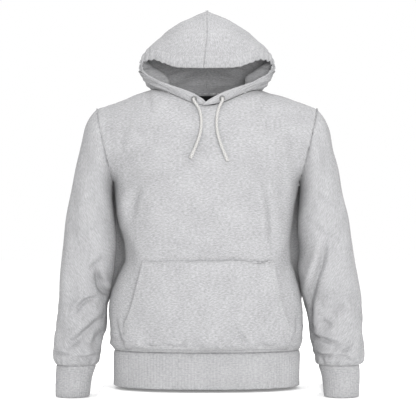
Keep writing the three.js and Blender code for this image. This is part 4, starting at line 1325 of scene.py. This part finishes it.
@dataclass
class Hood:
    """One of the hood's two panels, from the face edge round to the back seam."""

    side: Side
    casing: float = 26.0
    casing_wall: float = 4.4
    neck_follow: float = 0.25
    rises: int = 150
    creasing: float = 1.3
    edge_length: float = 480.0  # of the face edge, as the creases count it
    gather_pitch: float = 15.5  # of the puckers along the casing
    corner_rise: float = 0.62  # where the face opening is widest and the casing bunches most
    scallop: float = 1.7
    crown_draw: float = 7.0  # how far the crown's edge is drawn towards the wearer's right
    seam_close: float = 1.2
    lap: float = 9.0  # how far the wearer's left panel laps over the right at the throat
    lap_depth: float = 4.8

    COLUMNS = "edge_reach edge_y edge_z side_reach side_y side_z back_y back_z"
    ROWS = (
        (0.0, 0, -89, -43, 128, 5, -4, 75, -6),
        (0.06, 7, -91, -33, 137, 6, 5, 84, 7),
        (0.15, 35, -88, -14, 146, 8, 14, 94, 24),
        (0.22, 54, -83, -7, 151, 8, 22, 100, 36),
        (0.31, 79.5, -70, 1, 155, 8, 31, 106, 52),
        (0.4, 105.5, -52, 9, 157.5, 9, 40, 110, 69),
        (0.48, 129, -32, 22.5, 158, 10, 49, 112, 84),
        (0.55, 145.5, -14, 38, 156, 12, 61, 111, 98),
        (0.61, 150.5, -6, 53.5, 152, 14, 73, 108, 110),
        (0.66, 144.5, -12, 63, 145, 16, 84, 104, 120),
        (0.72, 125.5, -26, 66.5, 131, 18, 101, 98, 131),
        (0.8, 99, -42, 57.5, 104, 20, 125, 87, 146),
        (0.87, 71, -54, 47.5, 76, 20, 145, 74, 161),
        (0.93, 39.5, -60, 45, 44, 20, 164, 58, 174),
        (1.0, 0, -62, 44.5, 0, 18, 181, 40, 185),
    )
    # The tuck beside the neck: how deep it folds the side inwards at each rise, its place behind
    # the side, its spread, and how far it draws the cloth forwards for each step inwards
    TUCK_RISES = (0, 0.08, 0.16, 0.26, 0.4, 0.5, 0.62, 1)
    TUCK_DEPTHS = (0, 30, 54, 57, 46, 26, 3, 0)
    TUCK_PLACE = 24.0
    TUCK_SPREAD = 22.0
    TUCK_FORWARD = 0.25
    # Creases by place along the face edge and distance from it
    FOLDS = creases(
        (5, 3.4, 2.4, 1, 150, 30, 190, 36, 235, 34, 262, 28),
        (7, 4.0, 3.0, 1, 168, 52, 205, 66, 236, 60),
        (8, 3.0, 2.2, -1, 118, 48, 150, 62, 176, 86),
        (8, 2.4, 1.6, 1, 262, 46, 286, 60, 300, 84),
        (6, 1.6, 1.0, 1, 40, 64, 66, 58, 92, 60),
        (8, 2.0, 1.2, 1, 6, 92, 40, 96, 70, 112),
        (10, 2.4, 1.6, 1, 4, 140, 44, 150, 90, 148),
        (10, 2.2, 1.4, -1, 4, 200, 40, 204, 84, 220),
    )

    def shell(self) -> Shell:
        """Return the panel's shell: rows run back from the face edge, columns up from the neck."""
        sizes = Sections(self.COLUMNS, self.ROWS)
        turn = np.linspace(0, math.pi / 2, 97)
        sine, cosine = np.sin(turn), np.cos(turn)
        rises = np.linspace(0, 1, self.rises)
        columns, pulls = [], []
        for rise in rises:
            s = {name: float(curve(rise)) for name, curve in sizes.curves.items()}
            neck = max(0.0, 1 - rise / self.neck_follow)
            climb = mix(sine, swing(math.pi * sine), neck)
            front = xyz(
                mix(s["edge_reach"], s["side_reach"], sine),
                mix(s["side_y"], s["edge_y"], cosine),
                mix(s["edge_z"], s["side_z"], climb),
            )
            back = xyz(
                s["side_reach"] * cosine,
                mix(s["side_y"], s["back_y"], sine),
                mix(s["side_z"], s["back_z"], 1 - cosine),
            )
            reach = line_length(front)
            line = np.vstack([front, back[1:]])
            casing = np.linspace(0, self.casing, 15)
            rest = np.linspace(self.casing, reach, 52)[1:], np.linspace(reach, line_length(line), 44)[1:]
            run = np.concatenate([casing, *rest])
            columns.append(even_line(line, run))
            pulls.append(self.tuck(rise, run - reach))
        points = np.stack(columns, axis=1)
        points[..., 0] *= self.side.value
        shell = Shell(points, False, (0, 20, 70))
        self.relief(shell, rises[None, :])
        pull = np.stack(pulls, axis=1)
        shell.points[..., 0] -= self.side.value * pull
        shell.points[..., 1] -= self.TUCK_FORWARD * pull
        return shell

    def tuck(self, rise: float, behind_side: Array) -> Array:
        """Return how far the panel folds inwards beside the neck."""
        depth = float(smooth_curve(self.TUCK_RISES, self.TUCK_DEPTHS)(rise))
        return depth * bell(behind_side - self.TUCK_PLACE, self.TUCK_SPREAD)

    def relief(self, shell: Shell, rise: Array) -> None:
        """Add the casing's roll, its puckers, the creases and the lap at the throat."""
        across, back = shell.runs()
        along = np.broadcast_to(across[:1], back.shape)
        wander = 0.8 * np.sin(along / 21 + self.side.value) + 0.5 * np.sin(along / 9.3)
        phase = FULL_TURN * along / self.gather_pitch + wander
        gathered = 0.35 + bell(rise - self.corner_rise, 0.13)
        wave = np.sin(phase) * gathered * ease(0.1, 0.35, rise) * ease(1.0, 0.9, rise)
        shell.points[..., 2] += self.scallop * wave * bell(back, 13)
        shell.points[..., 1] -= 0.9 * np.cos(phase) * gathered * bell(back, 15) * ease(0.1, 0.3, rise)
        clear = ease(0.08, 0.17, rise)
        crown = mix(1.0, 0.35, ease(0.72, 0.88, rise))
        behind_seam = back - (self.casing - 1)
        heights = 1.5 * bell(back - 12, 8) * clear - 0.9 * bell(behind_seam, 1.8) * clear * crown
        heights += 0.9 * np.sin(phase + 1.2) * gathered * bell(behind_seam, 15) * clear
        edge = self.edge_length * rise + 0 * back
        heights += self.creasing * sum(fold(edge, back) for fold in self.FOLDS) * ease(0, 14, along)
        heights += Ripple(58, 0.8, 41 + self.side.value, 1.3)(along, back) * ease(30, 60, back)
        heights += Ripple(22, 0.22, 43)(along, back)
        middle = ease(0, 14, np.minimum(along, across[:, -1:] - across))
        shell.lift(heights * middle)
        shell.roll_edges("laz", 0.7, 1.4)
        shell.points[:, 0] += self.seam_close * unit(shell.points[:, 0] - shell.points[:, 1])
        near_crown = ease(0.72, 0.95, rise) * ease(80, 0, back) * bell(shell.points[..., 0], 55)
        shell.points[..., 0] -= self.crown_draw * near_crown
        if self.side is Side.LEFT:
            throat = bell(rise, 0.075) * bell(np.maximum(0, back - 10), 17)
            shell.points[..., 0] -= self.lap * throat
            shell.points[..., 1] -= self.lap_depth * throat

    def build(self, fleece: Material, sewing: Seamstress) -> None:
        """Make the panel and mark its stitching."""
        name = f"hood_{self.side.word}"
        shell = self.shell()
        back = shell.runs()[1]
        wall = mix(self.casing_wall, WALL, ease(self.casing - 3, self.casing + 2, back))
        SewnPiece(
            f"cloth_{name}", shell, wall, (name,), round_first=1.0,
            rests_on=BODY_PANELS, held=Held.GATHERED,
        ).make(fleece)
        sewing.add(shell.beside("f", self.casing - 1)[10:-1])
        sewing.add(shell.beside("z", 3.6)[2:-2], shell.beside("a", 3.6)[16:-2])
        sewing.add(*(shell.beside("l", d, -WALL - 0.3)[3:-4] for d in (2.6, 6.6)))


@dataclass
class Pocket:
    """The kangaroo pocket on the front, open at its two slanted sides."""

    torso: Torso
    rows: int = 130
    columns: int = 84
    foot: float = -591.0
    top: float = -391.0
    opening_foot: float = -543.0
    seat: float = 0.9
    bulge: float = 12.0
    gape: float = 8.5
    foot_lift: float = 1.4
    crowding: float = 0.6
    creasing: float = 1.7
    top_sink: float = 1.0  # how far the top edge is pressed down onto the body
    tack: float = 9.0  # length of a bar tack

    # Relief over all of the pocket, above its foot and along its seams
    DRAPE = Ripple(80, 1.2, 51)
    MOTTLE = Ripple(30, 0.3, 52)
    GATHER = Ripple(24, 1.0, 53)
    PUCKER = Ripple(15, 1.0, 54)
    FOLDS = creases(
        (5, 2.8, 2.2, 1, -92, -576, -70, -586, -50, -579),
        (4, 2.6, 1.6, 1, -51, -566, -52, -588),
        (6, 3.2, 2.4, 1, 58, -532, 75, -558, 82, -572, 76, -590),
        (11, -2.4, 0, 1, -24, -573, 0, -570, 24, -574),
        (5, 2.2, 1.6, 1, -140, -575, -126, -584, -108, -586),
        (5, 2.2, 1.6, 1, 120, -572, 136, -584, 156, -580),
        (14, 1.4, 0.8, 1, -150, -560, -120, -520, -84, -500),
        (24, 1.2, 0.8, 1, -60, -460, 0, -478, 70, -462),
        (14, 1.4, 0.8, 1, 100, -470, 128, -505, 140, -540),
    )

    def sides(self) -> Sections:
        """Return the reach of the pocket's two sides by height."""
        rows = ((-594, 185, 184), (-543, 186, 188), (-505, 172, 173), (-440, 158, 155), (-391, 150, 144))
        return Sections("left right", rows)

    def shell(self) -> Shell:
        """Return the pocket's shell: rows run from side to side, columns from the foot up."""
        sides = self.sides()
        even = np.linspace(0, 1, self.rows)[:, None]
        across = mix(even, swing(math.pi * even), self.crowding)
        level = spaced(self.foot, self.top, self.columns)[None, :]
        x = mix(-sides("right", level), sides("left", level), across)
        up = (level - self.foot) / (self.top - self.foot)
        slant = np.maximum(0, (level - self.opening_foot) / (self.top - self.opening_foot))
        middle = dome(across) * dome(up)
        lift = self.bulge * middle + self.gape * dome(slant) * np.maximum(0, 1 - middle) ** 1.6
        lift = lift + self.foot_lift * bell(level - self.foot, 16)
        z = level + 0 * x
        y = self.torso.front_depth(x, z) - self.seat - WALL - lift
        shell = Shell(xyz(x, y, z), False, (0, 400, -490))
        gaps = shell.gaps()
        run, to_top = gaps["a"], gaps["z"]
        side, seam = np.minimum(gaps["f"], gaps["l"]), np.minimum(run, to_top)
        heights = self.creasing * sum(fold(x, z) for fold in self.FOLDS) + self.DRAPE(x, z)
        heights += self.MOTTLE(x, z) + 1.3 * self.GATHER(x, 0.4 * z) * bell(run - 14, 14)
        heights -= self.top_sink * bell(to_top, 9)
        shell.lift(heights * ease(0, 14, run) * ease(0, 12, side))
        groove = bell(side - 8.0, 1.6) + bell(to_top - 6.0, 1.6)
        shell.lift(0.35 * self.PUCKER(x, z) * bell(seam - 6, 8) - 0.6 * groove)
        shell.roll_edges("a", 1.2, 2.6)
        shell.roll_edges("z", 0.8, 1.6)
        return shell

    def build(self, fleece: Material, sewing: Seamstress, tacks: Seamstress) -> None:
        """Make the pocket and mark its stitching and the bar tacks of its openings."""
        shell = self.shell()
        SewnPiece(
            "cloth_kangaroo_pocket", shell, WALL, ("kangaroo_pocket",),
            round_first=0.9, round_last=0.9, held=Held.STRETCHED, rests_on=("front_body",),
        ).make(fleece)
        sewing.add(*(shell.beside("z", d)[1:-1] for d in (4.0, 8.0)))
        sewing.add(*(shell.beside("a", d)[4:-4] for d in TWIN_ROWS))
        for side in "fl":
            sewing.add(*(shell.beside(side, d)[2:-2] for d in (7.0, 10.0)))
            edge = shell.beside(side, 4.0, 0.35)
            for level in (self.opening_foot, self.top + 7):
                head = edge[int(np.argmin(np.abs(edge[:, 2] - level)))]
                tacks.add(mix(head, head + (0, 0, -self.tack), np.linspace(0, 1, 6)[:, None]))


@dataclass
class NeckLabel:
    """The plain tape sewn inside the back of the neck."""

    torso: Torso
    width: float = 42.0
    top: float = -12.0
    foot: float = -46.0
    thickness: float = 0.8
    standoff: float = 1.3

    def build(self, tape: Material) -> None:
        """Make the label."""
        climb = np.linspace(0, 1, 200)[:, None]
        middle = self.torso.upper(np.zeros((1, 1)), climb, 1)[:, 0]
        x = np.linspace(-self.width / 2, self.width / 2, 29)[None, :]
        z = np.linspace(self.foot, self.top, 25)[:, None]
        back = np.interp(z, middle[:, 2], middle[:, 1])
        curve = self.torso.back_neck[0] * (1 - np.sqrt(1 - (x / self.torso.neck_half) ** 2))
        y = back - curve - WALL - self.standoff - self.thickness
        shell = Shell(xyz(x, y, z), False, (0, 200, -30))
        SewnPiece(
            "tape_neck_label", shell, self.thickness, ("neck_label",), Slot.LABEL_TAPE,
            held=Held.STRETCHED, rests_on=("back_body",), round_first=0.9, round_last=0.9,
        ).make(tape)


@dataclass
class Drawcord:
    """A free end of the drawcord, from its eyelet down the chest."""

    side: Side
    radius: float = 3.3
    tip_radius: float = 3.9
    tip_length: float = 22.0
    sides: int = 24

    ROUTES = {
        Side.LEFT: (
            (34, -90.3, -28.1), (35.2, -95.6, -29.1), (34.4, -98.6, -33.5), (30.6, -98.6, -41),
            (26.6, -99.8, -50), (23.9, -102.8, -60), (22.2, -108.2, -71.5), (21.6, -113.2, -85),
            (22.6, -117.2, -99), (25, -120.2, -113), (29, -122.6, -127), (34, -124.2, -141),
            (40, -125.4, -155), (46, -126, -170),
        ),
        Side.RIGHT: (
            (-29.2, -90.8, -29.2), (-30.1, -96.2, -30), (-28.6, -99, -34.4), (-23.6, -99, -42),
            (-18.4, -100.2, -50.5), (-15.1, -103, -60), (-12.9, -108.4, -72), (-12.5, -113, -84.5),
            (-13.4, -117, -98), (-16.4, -120, -112), (-20.6, -122.4, -125), (-26, -124.1, -138.5),
            (-31.6, -125.2, -151.5), (-37, -125.8, -163.5),
        ),
    }

    def build(self, braid: Material) -> None:
        """Make the cord end."""
        route = through(self.ROUTES[self.side], 12)
        length = line_length(route)
        run = np.concatenate([[0, 0.5], np.arange(1.5, length - 1.2, 1.2), [length - 0.5, length]])
        line = even_line(route, run)
        ahead = unit(np.gradient(line, axis=0))
        across = unit(np.cross(ahead, (1.0, 0.2, 0.1)))
        beside = np.cross(ahead, across)
        turn = turns(self.sides)
        radius = mix(self.radius, self.tip_radius, ease(length - self.tip_length, length - 12, run))
        radius = radius * np.sqrt(ease(-1.5, 1.2, length - run)) + 0.08 * np.sin(run / 1.7)
        circle = across[:, None] * np.cos(turn)[:, None] + beside[:, None] * np.sin(turn)[:, None]
        points = line[:, None] + circle * radius[:, None, None]
        index = np.arange(points.shape[0] * self.sides).reshape(-1, self.sides)
        faces = quads(index, np.roll(index, -1, axis=1))[:-1].reshape(-1, 4)[:, ::-1].tolist()
        faces += [index[0].tolist(), index[-1][::-1].tolist()]
        u = np.append(turn, FULL_TURN) * self.radius
        weave = np.stack(np.broadcast_arrays(u[None, :], run[:, None]), axis=-1)
        corners = quads(weave[:, :-1], weave[:, 1:])[:-1]
        uvs = corners.reshape(-1, 4, 2)[:, ::-1].reshape(-1, 2).tolist()
        uvs += weave[0, :-1].tolist() + weave[-1, :-1][::-1].tolist()
        name = f"braid_drawcord_{self.side.word}"
        mesh = woven_mesh(name, points, faces, uvs, braid)
        mesh.polygons.foreach_set("use_smooth", [len(face) == 4 for face in faces])
        cord = new_object(name, mesh)
        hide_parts(f"drawcord_{self.side.word}")
        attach(cord, ROOT)
        log.info("%s: %.0f mm", name, length)


@dataclass
class Eyelet:
    """A sewn eyelet: thread wrapped round the hole that the cord comes out of; the thread is dark to paint
    the hole's shadow.
    """

    side: Side
    hole: float = 4.3
    rim: float = 7.0
    height: float = 1.6

    NORMALS = {Side.LEFT: (0.207, -0.965, -0.159), Side.RIGHT: (-0.166, -0.978, -0.124)}

    def build(self, wraps: Seamstress, thread: Material) -> None:
        """Wrap the eyelet's ring with thread, and give the ring itself the thread's finish, whose dark tone
        is painted shadow of the hole.
        """
        name = f"eyelet_{self.side.word}"
        low, high = (np.array(corner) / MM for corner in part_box(name))
        normal = unit(np.array(self.NORMALS[self.side]))
        centre = (low + high) / 2
        across = unit(np.cross(normal, (0.0, 0.0, 1.0)))
        up = np.cross(across, normal)
        turn = np.linspace(0, FULL_TURN, 49)[:, None]
        radius = (self.hole + self.rim) / 2
        ring = centre + normal * (self.height / 2) + radius * (across * np.cos(turn) + up * np.sin(turn))
        wraps.add(ring)
        wraps.sew(f"wraps_{name}", pitch=1.25, length=3.4, radius=0.55, crosswise=1.0, facing=tuple(normal))
        # The ring takes the dark thread as well: painted shadow round the hole.
        finishes = bpy.data.objects[name].data.materials
        finishes.clear()
        finishes.append(thread)


@dataclass(frozen=True)
class Studio:
    """The camera, the soft lights and the pale floor."""

    distance: float = 3.8
    eye_level: float = -0.274
    middle: float = 0.0023
    frame_width: float = 0.9568  # of the view, at the object
    sensor: float = 36.0
    sky: float = 1.0
    aim_level: float = -0.25
    floor_level: float = -0.7075
    rise_level: float = -0.6865
    floor_glow: float = 0.16

    # Name, place, size and power of each lamp
    LAMPS = (
        ("front", (0.6, -3.35, -0.15), 1.6, 126),
        ("top", (0.0, -0.4, 2.1), 1.8, 38),
        ("rear", (-0.8, 3.2, 0.8), 1.8, 60),
    )
    WHITE = (1.0, 1.0, 1.0, 1.0)

    def build(self) -> None:
        """Set up the studio."""
        scene = bpy.context.scene
        scene.view_settings.view_transform = "Standard"
        camera = bpy.data.cameras.new("camera")
        camera.sensor_width = self.sensor
        camera.lens = self.sensor * self.distance / self.frame_width
        scene.camera = new_object("camera", camera)
        scene.camera.location = (self.middle, -self.distance, self.eye_level)
        scene.camera.rotation_euler = (math.pi / 2, 0, 0)
        scene.world = bpy.data.worlds.new("studio_white")
        scene.world.use_nodes = True
        background = scene.world.node_tree.nodes["Background"]
        background.inputs["Color"].default_value = self.WHITE
        background.inputs["Strength"].default_value = self.sky
        for lamp in self.LAMPS:
            self.lamp(*lamp)
        self.floor()

    def lamp(self, name: str, place: tuple[float, float, float], size: float, power: float) -> None:
        """Add a square soft light that faces the garment."""
        light = bpy.data.lights.new(name, "AREA")
        light.size = size
        light.energy = power
        lamp = new_object(name, light)
        lamp.location = place
        x, y, z = np.array((0.0, 0.0, self.aim_level)) - np.array(place)
        lamp.rotation_euler = (math.atan2(math.hypot(x, y), -z), 0, math.atan2(-x, y))

    def floor(self) -> None:
        """Lay a white floor just under the hem, with two low wells for the cuffs."""
        mesh = bpy.data.meshes.new("floor")
        reach, low, high = 9.0, self.floor_level, self.rise_level
        xs, ys = (-reach, -0.245, -0.24, 0.24, 0.245, reach), (-reach, 0.07, 0.075, reach)
        points = [(x, y, low if abs(x) > 0.242 and y < 0.072 else high) for x in xs for y in ys]
        firsts = (4 * i + j for i in range(5) for j in range(3))
        mesh.from_pydata(points, [], [(k, k + 4, k + 5, k + 1) for k in firsts])
        material = bpy.data.materials.new("white_floor")
        material.use_nodes = True
        values = {
            "Base Color": (0.9, 0.9, 0.9, 1.0),
            "Roughness": 1.0,
            "Specular IOR Level": 0.0,
            "Emission Color": self.WHITE,
            "Emission Strength": self.floor_glow,
        }
        for name, value in values.items():
            material.node_tree.nodes["Principled BSDF"].inputs[name].default_value = value
        mesh.materials.append(material)
        new_object("floor", mesh)


def grey(level: float, cool: float = 0.0) -> Colour:
    """Return a grey, with its blue raised by cool."""
    return (level, level, level + cool)


def main() -> None:
    """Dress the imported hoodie."""
    logging.basicConfig(level=logging.INFO, format="%(name)s: %(message)s")
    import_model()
    Studio().build()
    fleece = HeatherKnit("heather_fleece").build()
    hood_fleece = HeatherKnit("heather_fleece_upright", streak_across=0.0027, streak_along=0.0068).build()
    rib_colours = grey(0.37, 0.007), grey(0.21, 0.005)
    rib_knit = HeatherKnit("heather_ribbing", *rib_colours, wale=0.0011, course=0.0009).build()
    braid_colours = (0.41, 0.405, 0.395), (0.26, 0.255, 0.25)
    braid = Braid("braided_cord", *braid_colours, relief_depth=0.0008).build()
    thread = Thread("sewing_thread", grey(0.42), grey(0.34)).build()
    # Eyelet thread, darker than the sewing thread: painted shadow of the cord holes on a real sewn eyelet.
    shadow_dark_thread = Thread("eyelet_thread", grey(0.22), grey(0.14)).build()
    tape = Thread("label_tape", grey(0.014, 0.001), grey(0.008), sheen=0.0).build()
    stitch_tree, rib_tree = StitchTree(), RibTree()
    sewing, tacks = Seamstress(stitch_tree, thread), Seamstress(stitch_tree, thread)
    wraps = Seamstress(stitch_tree, shadow_dark_thread)
    torso = Torso()
    for side in Side:
        Drawcord(side).build(braid)
        Eyelet(side).build(wraps, shadow_dark_thread)
    Body(torso).build(fleece, sewing)
    for side in Side:
        Sleeve(torso, side).build(fleece, sewing)
        Hood(side).build(hood_fleece, sewing)
        cuff(side).build(rib_knit, rib_tree)
    hem_band().build(rib_knit, rib_tree)
    Pocket(torso).build(hood_fleece, sewing, tacks)
    NeckLabel(torso).build(tape)
    sewing.sew("topstitching", pitch=3.4, length=2.7, radius=0.36)
    tacks.sew("bar_tacks", pitch=0.9, length=3.4, radius=0.4, crosswise=1.0)


if __name__ == "__main__":
    main()
